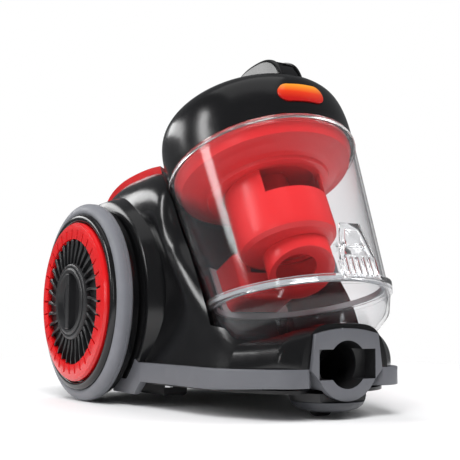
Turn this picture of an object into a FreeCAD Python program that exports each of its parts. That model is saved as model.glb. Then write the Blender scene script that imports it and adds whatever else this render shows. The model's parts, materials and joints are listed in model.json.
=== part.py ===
"""Cylinder vacuum cleaner with a tilted clear dust bin, modelled as separate pieces.

Millimetres. +Z is up, the hose socket faces -Y, X = 0 is the plane of symmetry of the casing.
The origin is on the floor, below the centre of the whole cleaner's bounding box.
"""
import FreeCAD, Part
import math
import os

V = FreeCAD.Vector
X, Y, Z = V(1, 0, 0), V(0, 1, 0), V(0, 0, 1)

# ---- driving dimensions --------------------------------------------------------------------
WHEEL_R = 95.0              # rear wheels
AXLE_Y = 90.5
AXLE_Z = WHEEL_R
TYRE_IN, TYRE_OUT = 113.5, 126.0   # |x| of the tyre's two sides
RIM_IN = 105.5              # |x| of the rim's inner side
TYRE_SEAT_R = 85.0
HUB_R = 72.0                # fixed hub that the wheel turns on
HUB_OUT = 126.5
RUNNING = 0.05              # radial clearance of a shaft in its hole

BIN_Y, BIN_Z = -98.8, 97.0  # centre of the bin's slanted bottom ring
BIN_TILT = 26.1             # bin axis, leaning back from vertical
RING_TILT = 12.7            # normal of the bottom ring's plane
BIN_R0 = 77.0               # outer radius of the bin at the ring's centre
BIN_TAPER = 0.0867          # growth of that radius along the axis
BIN_TOP = 134.0             # height of the clear wall along the axis
BIN_WALL = 2.2
RING_SHIFT = 1.6            # the slanted cut's centre lies this far behind the axis
BOWL_BOTTOM = -41.0         # lowest level of the clear bottom flap along the axis
BIN_GAP = 1.8               # between the clear bin and the casing
RING_ENVELOPE_R = 84.5      # room for the bottom ring as the bin is lifted
LID_GAP_R = 91.5            # room for the lid

COLLAR_FACE = -164.5        # front face of the hose socket
BORE_R = 19.5
BORE_Z = 44.3

BAND_LOW, BAND_HIGH = 23.0, 40.0    # grey bumper band
BAND_T = 7.0
PAN_Z = 21.0                # underside of the base pan
PAN_T = 2.8
PAN_FLOOR = PAN_Z + PAN_T

COVER_T = 5.0               # red top cover
CASTOR_Y = -137.0
CASTOR_TRAIL = 9.0
CASTOR_WHEEL_R = 8.5
CASTOR_SPLIT = 14.2         # level where the turning dome meets the fixed collar above it
CASTOR_NECK_R = 20.3
CASTOR_STEM_R = 6.0
SOCKET_LIP = -158.2         # the hose socket's lower lobe ends here
PEDAL_PIVOT = V(0, 112.0, 203.0)
PEDAL_END = 158.0           # rear edge of the two pedals
PEDAL_PIN_R = 2.0
REAR_WALL = 166.0           # inner face of the casing's rear wall

BIN = FreeCAD.Placement(V(0, BIN_Y, BIN_Z), FreeCAD.Rotation(X, -BIN_TILT))
RING = FreeCAD.Placement(V(0, BIN_Y, BIN_Z), FreeCAD.Rotation(X, -RING_TILT))
BIG = 600.0


# ---- helpers -------------------------------------------------------------------------------
def bin_radius(z):
    """Outer radius of the clear bin at a height along its axis."""
    return BIN_R0 + BIN_TAPER * z


def revolve(points, base=V(0, 0, 0), axis=Z, start=X):
    """Closed (radius, height) outline turned about an axis."""
    corners = [base + start * r + axis * h for r, h in points]
    return Part.Face(Part.makePolygon(corners + corners[:1])).revolve(base, axis, 360)


def tube(r_out, r_in, base, axis, length):
    outer = Part.makeCylinder(r_out, length, base, axis)
    return outer.cut(Part.makeCylinder(r_in, length, base, axis))


def box(x0, x1, y0, y1, z0, z1):
    return Part.makeBox(x1 - x0, y1 - y0, z1 - z0, V(x0, y0, z0))


def placed(shape, placement):
    shape = shape.copy()
    shape.Placement = placement.multiply(shape.Placement)
    return shape


def prism_x(outline, x0, x1):
    """(y, z) outline extruded along X."""
    corners = [V(x0, y, z) for y, z in outline]
    return Part.Face(Part.makePolygon(corners + corners[:1])).extrude(V(x1 - x0, 0, 0))


def fuse(shapes):
    shapes = list(shapes)
    return shapes[0].multiFuse(shapes[1:]).removeSplitter()


def cut(shape, tools):
    for tool in tools:
        shape = shape.cut(tool)
    return shape


def smooth_loop(points):
    """Closed spline through points of one half, mirrored in X; the first and last lie on X = 0."""
    mirrored = [V(-p.x, p.y, p.z) for p in reversed(points[1:-1])]
    curve = Part.BSplineCurve()
    curve.interpolate(Points=list(points) + mirrored, PeriodicFlag=True)
    return Part.Wire(curve.toShape())


def mirror_x(shape):
    return shape.mirror(V(0, 0, 0), X)


# ---- room kept for the bin -----------------------------------------------------------------
def bin_envelope(extra=0.0):
    """Solid that the bin, its bottom flap and the lid need, open upwards."""
    lip = bin_radius(BOWL_BOTTOM + 20) + BIN_GAP + extra
    straight = RING_ENVELOPE_R + extra
    top = LID_GAP_R + extra
    outline = [(0, BOWL_BOTTOM - 2.5 - extra), (58 + extra, BOWL_BOTTOM - 2.5 - extra),
               (lip - 4, BOWL_BOTTOM + 8 - extra), (lip, BOWL_BOTTOM + 20), (straight, -12),
               (straight, (straight - extra - BIN_GAP - BIN_R0) / BIN_TAPER),
               (bin_radius(122) + BIN_GAP + extra, 122), (top, 128), (top, 300), (0, 300)]
    return placed(revolve(outline), BIN)


# ---- casing --------------------------------------------------------------------------------
CASING_LEVELS = [
    (24, [(0, -150), (44, -146), (66, -128), (84, -90), (92, -40), (99, 20), (100, 80), (95, 140), (72, 172),
          (0, 179)]),
    (46, [(0, -149), (42, -145), (63, -127), (81, -90), (90, -40), (97, 20), (98, 80), (94, 140), (72, 174),
          (0, 182)]),
    (75, [(0, -116), (40, -116), (66, -108), (81, -80), (86, -35), (92, 20), (95, 80), (92, 140), (71, 174),
          (0, 184)]),
    (100, [(0, -94), (40, -93), (68, -82), (84, -60), (86, -22), (91, 22), (94, 80), (91, 139), (70, 173),
           (0, 184)]),
    (135, [(0, -56), (40, -55), (70, -45), (86, -28), (88, 2), (91, 32), (93, 80), (90, 136), (68, 170),
           (0, 182)]),
    (170, [(0, -32), (40, -31), (70, -22), (87, -8), (90, 14), (92, 36), (92, 78), (86, 128), (64, 160),
           (0, 174)]),
    (198, [(0, -16), (40, -16), (66, -14), (82, -4), (87, 16), (88, 40), (87, 76), (80, 122), (60, 152),
           (0, 165)]),
    (213, [(0, -6), (34, -6), (58, -4), (71, 6), (77, 22), (78, 42), (76, 70), (69, 108), (50, 134),
           (0, 146)]),
    (220, [(0, 2), (28, 2), (48, 4), (60, 12), (66, 26), (68, 44), (66, 66), (59, 94), (41, 114), (0, 125)]),
]


def casing_block(grow=0.0):
    """Outer form of the casing from the bumper up, before anything is taken away."""
    wires = []
    for z, half in CASING_LEVELS:
        scale_x = 1 + grow / 95.0
        scale_y = 1 + grow / 110.0
        mid = (half[0][1] + half[-1][1]) / 2
        height = z + grow * max(0, z - 150) / 72.0
        wires.append(smooth_loop([V(x * scale_x, mid + (y - mid) * scale_y, height) for x, y in half]))
    return Part.makeLoft(wires, True, False)


def wheel_arch():
    """Boss behind a rear wheel, on the +X side."""
    drum = revolve([(0, 50), (103, 50), (103, 88), (98, 101), (93, 103.5), (0, 103.5)],
                   V(0, AXLE_Y, AXLE_Z), X, Y)
    limits = box(40, 104, -30, 183, 24, 199)
    return drum.common(limits)


def largest(shape):
    """The biggest solid of a cut shape; the crumbs beside it are dropped."""
    return max(shape.Solids, key=lambda solid: solid.Volume)


def inner_room():
    """Space inside the casing for the motor, the reel and the controls."""
    return box(-84, 84, 6, REAR_WALL, 20, 206).common(casing_block(-4.0))


def arch_hollow(side):
    """Ring-shaped hollow round the exhaust chamber, inside a wheel arch."""
    ring = tube(96.0, 65.0, V(side * 78, AXLE_Y, AXLE_Z), V(side, 0, 0), 22.5)
    return ring.common(box(-101, 101, -26, 178, 28, 195))


def main_housing():
    arch = wheel_arch()
    shell = fuse([casing_block().common(box(-104, 104, -160, 184, 24, 230)), arch, mirror_x(arch)])
    room = inner_room().cut(bin_envelope(4.0))
    under = box(-62, 62, -138, 8, 20, 90).cut(bin_envelope(3.0))
    exhausts = [Part.makeCylinder(61.5, 60, V(s * 60, AXLE_Y, AXLE_Z), V(s, 0, 0)) for s in (1, -1)]
    port = placed(box(-29.2, 29.2, 60, 110, 23.5, 63), BIN)
    hinge_slots = [box(*sorted((s * 29.5, s * 46)), -42, -2, 56, 116) for s in (1, -1)]
    collar_room = box(-52, 52, -200, -112, 20, 90)
    spring_room = Part.makeCylinder(38.2, 6.4, V(0, REAR_WALL - 0.1, REEL.z), Y)
    cord_hole = Part.makeCylinder(9.0, 40, V(48, 150, 120), Y)
    windows = [box(*sorted((s * 14, s * 60)), 106, PEDAL_END + 1, 183, 240) for s in (1, -1)]
    shell = cut(shell, [bin_envelope(), room, under, port, collar_room, cord_hole])
    shell = cut(shell, exhausts + hinge_slots + windows + [arch_hollow(s) for s in (1, -1)])
    shell = cut(shell, [spring_room, nose_form(), bumper_band()])
    return largest(shell)


def cover_region(inset=0.0):
    """Part of the casing's top that the red cover spreads over."""
    side = [(-30, 214), (36, 214), (90, 208), (150, 192), (190, 172), (190, 260), (-30, 260)]
    return prism_x([(y, z + inset) for y, z in side], -72 + inset, 72 - inset)


def cover_slab():
    """Raised layer on the casing's top."""
    return casing_block(COVER_T).cut(casing_block()).common(cover_region())


def top_cover():
    """Red layer on the casing's top, with an opening for each pedal at the back."""
    return largest(cut(cover_slab(), [bin_envelope(1.0)] + [pedal_room(s) for s in (1, -1)]))


def pedal_room(side):
    return box(*sorted((side * 14, side * 60)), PEDAL_PIVOT.y + 4, PEDAL_END + 1, 170, 240)


def pedal(side):
    """Foot pedal: a piece of the red layer on a lever with a cross bore for its pin."""
    inside = box(*sorted((side * 15, side * 59)), PEDAL_PIVOT.y + 5, PEDAL_END, 170, 240)
    plate = largest(cover_slab().common(inside))
    x0, x1 = sorted((side * 24, side * 50))
    y, z = PEDAL_PIVOT.y, PEDAL_PIVOT.z
    arm = box(x0, x1, y - 4, y + 26, z - 4, z + 4).fuse(box(x0, x1, y + 10, y + 26, z, z + 25))
    arm = arm.common(casing_block())
    return largest(fuse([plate, arm]).cut(Part.makeCylinder(PEDAL_PIN_R + RUNNING, 200, V(-100, y, z), X)))


SHELF_TOP = 188.0
PEDAL_TRAVEL = 2.2          # drop of a lever above its spring when the pedal is pressed


def pedal_bracket():
    """Hanger under the roof with the pedals' pin and the shelf for their springs."""
    y, z = PEDAL_PIVOT.y, PEDAL_PIVOT.z
    plates = [box(x - 1.5, x + 1.5, y - 6, y + 30, SHELF_TOP - 2, z + 5) for x in (-62.5, 0, 62.5)]
    shelf = box(-64, 64, y + 14, y + 30, SHELF_TOP - 2, SHELF_TOP)
    pin = Part.makeCylinder(PEDAL_PIN_R, 128, V(-64, y, z), X)
    return largest(fuse(plates + [shelf, pin]).common(inner_room()))


def pedal_springs():
    """Two short springs on the shelf; the levers stand just above them at rest."""
    height = PEDAL_PIVOT.z - 4 - SHELF_TOP - PEDAL_TRAVEL
    return Part.makeCompound([tube(4.5, 3.3, V(x, PEDAL_PIVOT.y + 20, SHELF_TOP), Z, height) for x in (-37, 37)])


# ---- base ----------------------------------------------------------------------------------
BAND_PLAN = [(38, -163), (55, -160), (75, -134), (92, -84), (95, -50), (103.4, 4), (103.4, 58)]


def band_side(inset=0.0):
    """Plan curve of the bumper, from the socket to the wheel, on the +X side."""
    curve = Part.BSplineCurve()
    curve.interpolate(Points=[V(x - inset, y + (inset if y < -150 else 0), 0) for x, y in BAND_PLAN])
    return curve.toShape()


def band_half():
    """Bumper on the +X side: a wall along the plan curve with a deeper end beside the wheel."""
    outer, inner = band_side(), band_side(BAND_T)
    first = Part.makeLine(inner.Vertexes[0].Point, outer.Vertexes[0].Point)
    last = Part.makeLine(outer.Vertexes[-1].Point, inner.Vertexes[-1].Point)
    plan = Part.Face(Part.Wire(Part.__sortEdges__([outer, last, inner, first])))
    wall = plan.extrude(V(0, 0, 60))
    wall.translate(V(0, 0, 6))
    side = [(-200, 27), (-150, 26), (-100, BAND_LOW), (2, BAND_LOW), (14, 11), (60, 11), (60, 57), (26, 57),
            (10, BAND_HIGH), (-100, BAND_HIGH), (-150, 41), (-200, 42)]
    wall = wall.common(prism_x(side, 0, 103.4))
    socket = Part.Face(collar_outline(0)).extrude(V(0, 60, 0))
    socket.translate(V(0, COLLAR_FACE - 5, 0))
    chamber = Part.makeCylinder(HUB_R + 2, 100, V(50, AXLE_Y, AXLE_Z), X)
    return largest(cut(wall, [socket, chamber]))


def bumper_band():
    half = band_half()
    return Part.makeCompound([half, mirror_x(half)])


def base_outline(inset):
    half = [(0, -146), (40, -150), (62, -134), (82, -90), (87, -50), (96, 4), (96, 60), (93, 130), (72, 170),
            (0, 176)]
    return smooth_loop([V(x * (1 - inset / 95), y * (1 - inset / 160), 0) for x, y in half])


def base_pan():
    """Floor of the cleaner: a tray with two low skids between the wheels and a collar for the castor."""
    floor = Part.Face(base_outline(0)).extrude(V(0, 0, PAN_T))
    floor.translate(V(0, 0, PAN_Z))
    rails = []
    for x0, x1 in ((56, 80), (-80, -56)):
        rail = box(x0, x1, 0, 92, 9, PAN_Z)
        rails.append(rail.makeFillet(4, [e for e in rail.Edges if e.BoundBox.ZMax < 10]))
    collar = revolve([(CASTOR_NECK_R + 0.5, CASTOR_SPLIT), (31.2, CASTOR_SPLIT), (32, 18), (32, PAN_Z + 0.2),
                      (CASTOR_NECK_R + 0.5, PAN_Z + 0.2)], V(0, CASTOR_Y, 0))
    collar = collar.cut(box(-60, 60, -200, SOCKET_LIP + 0.1, 0, 60))
    pan = fuse([floor, collar] + rails)
    return pan.cut(Part.makeCylinder(CASTOR_STEM_R + RUNNING, 30, V(0, CASTOR_Y, 10)))


# ---- hose socket ---------------------------------------------------------------------------
def collar_outline(grow):
    """Face of the hose socket in the (x, z) plane: arched top, round lower lobe."""
    top, side, low = 72.0 + grow, 36.5 + grow, 40.0
    lobe = 29.5 + grow
    a, b = V(side, 0, low), V(side - 4, 0, top - 3)
    arch = Part.Arc(b, V(0, 0, top + 1.5), V(-b.x, 0, b.z)).toShape()
    right = Part.makeLine(a, b)
    left = Part.makeLine(V(-b.x, 0, b.z), V(-a.x, 0, a.z))
    shoulder = V(lobe * 0.94, 0, BORE_Z - lobe * 0.45)
    down_right = Part.makeLine(V(shoulder.x, 0, shoulder.z), a)
    down_left = Part.makeLine(V(-a.x, 0, a.z), V(-shoulder.x, 0, shoulder.z))
    bowl = Part.Arc(V(-shoulder.x, 0, shoulder.z), V(0, 0, BORE_Z - lobe),
                    V(shoulder.x, 0, shoulder.z)).toShape()
    return Part.Wire(Part.__sortEdges__([arch, right, left, down_right, down_left, bowl]))


def hose_collar():
    body = Part.Face(collar_outline(0)).extrude(V(0, 34, 0))
    body.translate(V(0, COLLAR_FACE, 0))
    body = body.cut(Part.makeCylinder(BORE_R, 60, V(0, COLLAR_FACE - 5, BORE_Z), Y))
    slots = box(-29, 29, COLLAR_FACE - 1, COLLAR_FACE + 14, 32.5, 56.8)
    under = box(-60, 60, SOCKET_LIP, -100, 10, PAN_FLOOR + 0.05)
    return largest(cut(body, [slots, under, bin_envelope()]))


NOSE_SECTIONS = [           # y, half width, height of the shoulders, height of the crown
    (COLLAR_FACE + 3, 44, 56, 77), (-150, 58, 56, 79), (-132, 69, 52, 80), (-112, 80, 50, 80)]


def nose_form():
    """Outer form of the hood over the socket."""
    sections = []
    for y, half, low, top in NOSE_SECTIONS:
        pts = [V(-half, y, BAND_HIGH + 0.5), V(-half + 2, y, low), V(-31, y, top - 4), V(0, y, top),
               V(31, y, top - 4), V(half - 2, y, low), V(half, y, BAND_HIGH + 0.5)]
        curve = Part.BSplineCurve()
        curve.interpolate(Points=pts)
        sections.append(Part.Wire([curve.toShape(), Part.makeLine(pts[-1], pts[0])]))
    return Part.makeLoft(sections, True, True)


def nose_cover():
    """Black hood over the socket that runs back under the bin and out to both sides."""
    inner = Part.Face(collar_outline(0.4)).extrude(V(0, 60, 0))
    inner.translate(V(0, COLLAR_FACE - 2, 0))
    return largest(cut(nose_form(), [inner, bin_envelope(0.2), bumper_band()]))


def hose_duct():
    """Duct from the socket back under the bin and up to the bin's rear inlet port."""
    y0 = COLLAR_FACE + 34.3
    round_part = Part.makeCylinder(22.5, 20, V(0, y0, BORE_Z), Y)
    flat_part = box(-24, 24, y0 + 12, 2, 26, 50)
    rise = placed(box(-27, 27, 93, 108, -10, 62), BIN)
    turn = box(-24, 24, -12, 24, 26, 60)
    outer = fuse([round_part, flat_part, turn, rise])
    outer = cut(outer, [bin_envelope(3.4), box(-60, 60, -200, 60, 0, PAN_FLOOR + 0.05)])
    bore = Part.makeCylinder(BORE_R + 0.5, 22, V(0, y0 - 1, BORE_Z), Y).cut(bin_envelope(5.6))
    flat_hole = box(-21, 21, y0 + 14, 0, 29, 47).cut(bin_envelope(5.6))
    turn_hole = box(-21, 21, -10, 20, 29, 58)
    rise_hole = placed(box(-24, 24, 96, 105, -6, 59), BIN)
    mouth = placed(box(-24, 24, 80, 100, 28, 58), BIN)
    outer = cut(outer, [bore, flat_hole, turn_hole, rise_hole, mouth])
    return largest(outer)


# ---- bin -----------------------------------------------------------------------------------
def half_space(level, above=True):
    """Big block above or below a level of the slanted ring plane."""
    z0 = level if above else level - BIG
    return placed(box(-BIG / 2, BIG / 2, -BIG / 2, BIG / 2, z0, z0 + BIG), RING)


def port_block(x, y0, y1, z0, z1):
    return placed(box(-x, x, y0, y1, z0, z1), BIN)


CLIP_PIN_Y, CLIP_PIN_Z, CLIP_PIN_R = -80.9, 8.0, 1.0


def clip_rod(r, half=14.5):
    return placed(Part.makeCylinder(r, 2 * half, V(-half, CLIP_PIN_Y, CLIP_PIN_Z), X), BIN)


def bin_wall():
    low = -25
    inner = BIN_WALL
    cone = revolve([(bin_radius(low) - inner, low), (bin_radius(low), low), (bin_radius(BIN_TOP), BIN_TOP),
                    (bin_radius(BIN_TOP) - inner, BIN_TOP)])
    wall = placed(cone, BIN).common(half_space(0.0))
    ears = [placed(box(x - 1.5, x + 1.5, -83.0, -70, 5.0, 11.0), BIN) for x in (-13, 13)]
    wall = fuse([wall] + [ear.cut(placed(revolve([(0, -60), (bin_radius(-60) - 1, -60),
                                                  (bin_radius(60) - 1, 60), (0, 60)]), BIN)) for ear in ears])
    return cut(wall, [port_block(25, 50, 100, 26, 60), clip_rod(CLIP_PIN_R)])


def ring_at(r_out, r_in, z0, z1):
    """Flat ring in the slanted plane."""
    return placed(tube(r_out, r_in, V(0, RING_SHIFT, z0), Z, z1 - z0), RING)


HINGE_Y, HINGE_Z = 86.5, -3.0       # flap hinge in the ring's own frame
HINGE_PIN_R = 1.8
EAR_X = (31.0, 36.5)                # hinge ears of the ring, each side of the inlet port
KNUCKLE_X = (37.0, 43.0)            # hinge knuckles of the flap


def hinge_rod(r, x0, x1):
    """Rod on the flap's hinge line between two X values."""
    return placed(Part.makeCylinder(r, x1 - x0, V(x0, HINGE_Y, HINGE_Z), X), RING)


def both_sides(span):
    """A span of positive X values and its mirror image, low end first."""
    return [span, (-span[1], -span[0])]


def bottom_ring():
    ring = ring_at(81.6, 75.2, -1.0, 4.0)
    ears = []
    for x0, x1 in both_sides(EAR_X):
        ears += [hinge_rod(4.0, x0, x1), placed(box(x0, x1, 66, HINGE_Y + 2, -1, 2.5), RING)]
    inside = placed(revolve([(0, -40), (74.9, -40), (76.5, 0), (80, 60), (0, 60)]), BIN)
    return largest(cut(fuse([ring] + ears), [hinge_rod(HINGE_PIN_R + 0.02, -60, 60), bin_wall(), inside]))


def hinge_pins():
    """Two pins of the flap's hinge and the catch's pin."""
    pins = [hinge_rod(HINGE_PIN_R, x0, x1) for x0, x1 in both_sides((30.6, 43.4))]
    return Part.makeCompound(pins + [clip_rod(CLIP_PIN_R)])


def bottom_flap():
    """Clear bowl that closes the bin from below and swings about its rear hinge."""
    def bowl(t):
        low = BOWL_BOTTOM + t
        return placed(revolve([(0, low), (52 - t, low), (63 - t, low + 3), (71 - t, low + 9.5),
                               (bin_radius(-20) - t, -20), (bin_radius(30) - t, 30), (0, 30)]), BIN)
    shell = bowl(0).cut(bowl(2.2)).common(half_space(-1.4, False))
    lip = ring_at(81.2, 70.0, -4.6, -1.4).cut(bowl(1.0))
    arms = []
    for x0, x1 in both_sides(KNUCKLE_X):
        arms += [hinge_rod(4.0, x0, x1), placed(box(x0, x1, 60, HINGE_Y, -4.6, -1.6), RING).cut(bowl(1.0))]
    flap = largest(fuse([shell, lip] + arms))
    return flap.cut(hinge_rod(HINGE_PIN_R + RUNNING, -60, 60))


def flap_gasket():
    """Seal between the ring and the flap, inside the wall; it stays on the ring."""
    outside = revolve([(bin_radius(-30) - 2.3, -30), (bin_radius(-30) + 9, -30), (bin_radius(30) + 9, 30),
                       (bin_radius(30) - 2.3, 30)])
    return ring_at(75.0, 72.2, -1.0, 3.6).cut(placed(outside, BIN))


def flap_clip():
    """Clear catch on the front of the bin: a tapered finger plate with a ribbed foot."""
    lean = math.degrees(math.atan(BIN_TAPER))
    plate = Part.Face(Part.makePolygon([V(-18, 0, -22), V(18, 0, -22), V(18, 0, -4), V(10, 0, 26),
                                        V(-10, 0, 26), V(-18, 0, -4), V(-18, 0, -22)])).extrude(V(0, 2.4, 0))
    window = Part.Face(Part.makePolygon([V(-13, -1, -2), V(13, -1, -2), V(6.5, -1, 20), V(-6.5, -1, 20),
                                         V(-13, -1, -2)])).extrude(V(0, 2.2, 0))
    plate = plate.cut(window)
    ribs = [box(x - 0.8, x + 0.8, -2.2, 0.1, -20, -5) for x in (-15, -9, -3, 3, 9, 15)]
    sides = [box(x - 1.1, x + 1.1, 2.3, 5.4, -20, -6) for x in (-16, 16)]
    clip = fuse([plate] + ribs + sides)
    clip.Placement = FreeCAD.Placement(V(0, -(BIN_R0 + 9.2), 0), FreeCAD.Rotation(X, lean))
    lugs = [box(x - 1.5, x + 1.5, -86, CLIP_PIN_Y + 2.2, CLIP_PIN_Z - 2, CLIP_PIN_Z + 2) for x in (-9.5, 9.5)]
    clip = fuse([placed(clip, BIN)] + [placed(lug, BIN) for lug in lugs])
    outside = placed(revolve([(0, -60), (bin_radius(-60) + 0.5, -60), (bin_radius(60) + 0.5, 60), (0, 60)]), BIN)
    return largest(cut(clip, [ring_at(82.6, 40, -6, 6), outside, clip_rod(CLIP_PIN_R + RUNNING)]))


def rim_seal():
    """Clear seal that rests on the top of the bin wall, under the lid."""
    return placed(tube(88.4, 84.6, V(0, 0, BIN_TOP), Z, 1.7), BIN)


# ---- cyclone -------------------------------------------------------------------------------
CYCLONE_Y = -4.0            # the cyclone stands slightly forward in the bin
CYCLONE_R = 45.5
NOZZLE = V(7.0, -5.0, 0)
NOZZLE_R = 30.5
NOZZLE_END = 24.0           # level of the middle of its lower face
NOZZLE_FACE = V(0.16, 0.31, 0.94)           # that face looks down, forwards and to the left
CYCLONE_X = 1.5


def separator_flange():
    """Red dish that hangs under the rim and steps down to the cyclone, with the filter's seat on top."""
    profile = [(44, 118), (44, 110.5), (53, 108.5), (57, 109.5), (58, 113), (66, 114.5), (70, 117.5), (78, 120.5),
               (80.5, 122), (82.5, 128), (84.2, 130.5), (84.2, 133.6), (40, 133.6), (40, 127), (20, 127), (20, 118)]
    rim = tube(83.5, 76, V(0, 0, 133.0), Z, 5.2)
    spokes = [Part.makeBox(66, 4, 5, V(12, -2, 133.2)) for _ in range(6)]
    for index, spoke in enumerate(spokes):
        spoke.rotate(V(0, 0, 0), Z, 60 * index)
    hub = tube(14, 10, V(0, 0, 127.5), Z, 10.7)
    return placed(fuse([revolve(profile), rim, hub] + spokes), BIN)


def cyclone_body():
    outer = revolve([(0, 47), (34, 47), (41, 48.5), (44.5, 52), (CYCLONE_R, 57), (CYCLONE_R, 110), (0, 110)],
                    V(CYCLONE_X, CYCLONE_Y, 0))
    inner = revolve([(0, 50), (33, 50), (42.5, 58), (42.5, 111), (0, 111)], V(CYCLONE_X, CYCLONE_Y, 0))
    window = box(-32, 31, -60, -10, 87, 110.2)
    drop = Part.makeCylinder(26, 30, V(NOZZLE.x, NOZZLE.y, 30))
    return placed(cut(outer, [inner, window, drop]), BIN).cut(separator_flange())


def cyclone_nozzle():
    """Lower, slightly offset outlet with an off-centre hole that faces down."""
    x, y = NOZZLE.x, NOZZLE.y
    outer = revolve([(0, 0), (NOZZLE_R, 0), (NOZZLE_R, 46.8), (0, 46.8)], V(x, y, 0))
    inner = revolve([(0, 0), (27.5, 0), (27.5, 47.5), (0, 47.5)], V(x, y, 0))
    slope = FreeCAD.Placement(V(x, y, NOZZLE_END), FreeCAD.Rotation(Z, NOZZLE_FACE))
    end = placed(box(-80, 80, -80, 80, -80, 0), slope)
    floor = placed(box(-80, 80, -80, 80, 0, 2.5), slope)
    hole = placed(Part.makeCylinder(18.5, 40, V(-7, -2, -20)), slope)
    nozzle = cut(outer, [end, inner]).fuse(outer.common(floor)).removeSplitter()
    return placed(nozzle.cut(hole), BIN)


def inner_column():
    """Central outlet pipe inside the cyclone, up through the flange."""
    return placed(tube(17.0, 14.0, V(0, CYCLONE_Y, 62), Z, 55.6), BIN)


def inlet_scoop():
    """Red duct inside the bin, from the rear port forward to the cyclone."""
    outer = box(-28, 30, 36, 74, 21, 66)
    outer = outer.makeFillet(8, [e for e in outer.Edges if e.BoundBox.ZMax < 24 or
                                 (abs(e.CenterOfMass.y - 36) < 1 and e.BoundBox.ZLength > 10)])
    inner = box(-24, 26, 39, 90, 27, 62)
    cyclone = Part.makeCylinder(CYCLONE_R + 0.2, 200, V(CYCLONE_X, CYCLONE_Y, 45.5))
    nozzle = Part.makeCylinder(NOZZLE_R + 0.2, 200, V(NOZZLE.x, NOZZLE.y, 0))
    inside = revolve([(0, -60), (bin_radius(-60) - 4.4, -60), (bin_radius(90) - 4.4, 90), (0, 90)])
    return largest(placed(cut(outer.common(inside), [inner, cyclone, nozzle]), BIN))


def port_seal():
    """Grey gasket that frames the bin's rear inlet."""
    frame = box(-36, 36, 40, 90, 10, 68).cut(box(-24, 24, 30, 100, 27, 59))
    shell = revolve([(bin_radius(-60) - 4.2, -60), (bin_radius(-60) - 2.3, -60), (bin_radius(90) - 2.3, 90),
                     (bin_radius(90) - 4.2, 90)])
    seal = placed(frame.common(shell), BIN).common(half_space(4.6))
    return largest(seal)


# ---- lid -----------------------------------------------------------------------------------
LID_LEVELS = [(88.6, 136.0, 0), (88.9, 146, 0), (88.9, 158, 0), (88.3, 168, 0.5), (86.8, 176, 1.1),
              (83.3, 184, 2.4), (76.2, 192, 4.4), (62.8, 200, 7.5), (46.4, 206, 10.7)]
LID_TOP = 214.0
SCOOP_R, SCOOP_Y, SCOOP_Z = 30.0, -22.0, 222.0
SLOT_X, SLOT_Y = 9.0, -62.0  # half width and rear end of the release button's slot
SEAT_Z = 170.5              # seat of the button's spring
BUTTON_Z = 180.0            # underside of the button


def lid_form(inset=0.0):
    """Domed cap whose upper rings move back and shrink."""
    rings = [Part.Wire(Part.makeCircle(r - inset, V(0, y, z - (inset if z > 150 else 0))))
             for r, z, y in LID_LEVELS]
    return Part.makeLoft(rings, True, False)


def lid_crown():
    """Two flat cones that close the dome."""
    lower = Part.makeCone(46.4, 27, 5, V(0, 10.7, 206))
    return lower.fuse(Part.makeCone(27, 8, LID_TOP - 211, V(0, 12.5, 210.9)))


def finger_scoop(grow):
    """Trough across the lid under the handle, so that a hand fits round it."""
    return Part.makeCylinder(SCOOP_R + grow, 240, V(-120, SCOOP_Y, SCOOP_Z), X)


def lid_shell():
    """Domed cap with a trough for the fingers and a slot and spring seat for the release button."""
    outer = lid_form()
    crown = lid_crown()
    room = fuse([lid_form(3.0), Part.makeCylinder(86.8, 24, V(0, 0, 130))]).cut(finger_scoop(3.0))
    shell = fuse([outer, crown]).cut(finger_scoop(0.0)).cut(room)
    shell = shell.cut(box(-SLOT_X - 0.3, SLOT_X + 0.3, -78.5, SLOT_Y, 174.7, 230))
    floor = box(-14, 14, -80, -58, SEAT_Z - 2.5, SEAT_Z)
    walls = [box(x - 1, x + 1, -80, -58, SEAT_Z - 2.5, 200) for x in (-13, 13)]
    seat = fuse([floor] + walls).common(lid_form(1.0))
    return placed(largest(shell.fuse(seat).removeSplitter()), BIN)


HANDLE_TOP = [(28, 202), (24, 214), (4, 222), (-28, 226), (-50, 220.5), (-62, 215), (-70, 208.5), (-75.5, 200),
              (-78, 186), (-78, 178)]
HANDLE_UNDER = [(-56, 178), (-55.5, 190), (-54, 200), (-49, 208), (-28, 215.5), (0, 211.5), (12, 204), (16, 200)]
HANDLE_X = 13.0             # half width of the handle
PAD_T = 3.5                 # thickness of the soft pad under it


def curve_yz(points, x):
    """Smooth curve through (y, z) points in the plane at x."""
    curve = Part.BSplineCurve()
    curve.interpolate([V(x, y, z) for y, z in points])
    return curve.toShape()


def carry_handle():
    """Bar from the lid's front over the trough to the crown, with a slot for the release button."""
    upper, lower = curve_yz(HANDLE_TOP, -HANDLE_X), curve_yz(HANDLE_UNDER, -HANDLE_X)
    ends = [Part.makeLine(V(-HANDLE_X, *HANDLE_TOP[-1]), V(-HANDLE_X, *HANDLE_UNDER[0])),
            Part.makeLine(V(-HANDLE_X, *HANDLE_UNDER[-1]), V(-HANDLE_X, *HANDLE_TOP[0]))]
    outline = Part.Wire(Part.__sortEdges__([upper, ends[0], lower, ends[1]]))
    bar = Part.Face(outline).extrude(V(2 * HANDLE_X, 0, 0))
    ridges = [e for e in bar.Edges if e.BoundBox.XLength < 1 and e.Length > 100 and e.BoundBox.ZMax > 223]
    bar = bar.makeFillet(3.2, ridges)
    slot = box(-SLOT_X, SLOT_X, -100, SLOT_Y, 150, 230)
    lid = fuse([lid_form(), lid_crown()]).cut(finger_scoop(0.0))
    return placed(largest(cut(bar, [grip_form(), slot, lid])), BIN)


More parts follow.
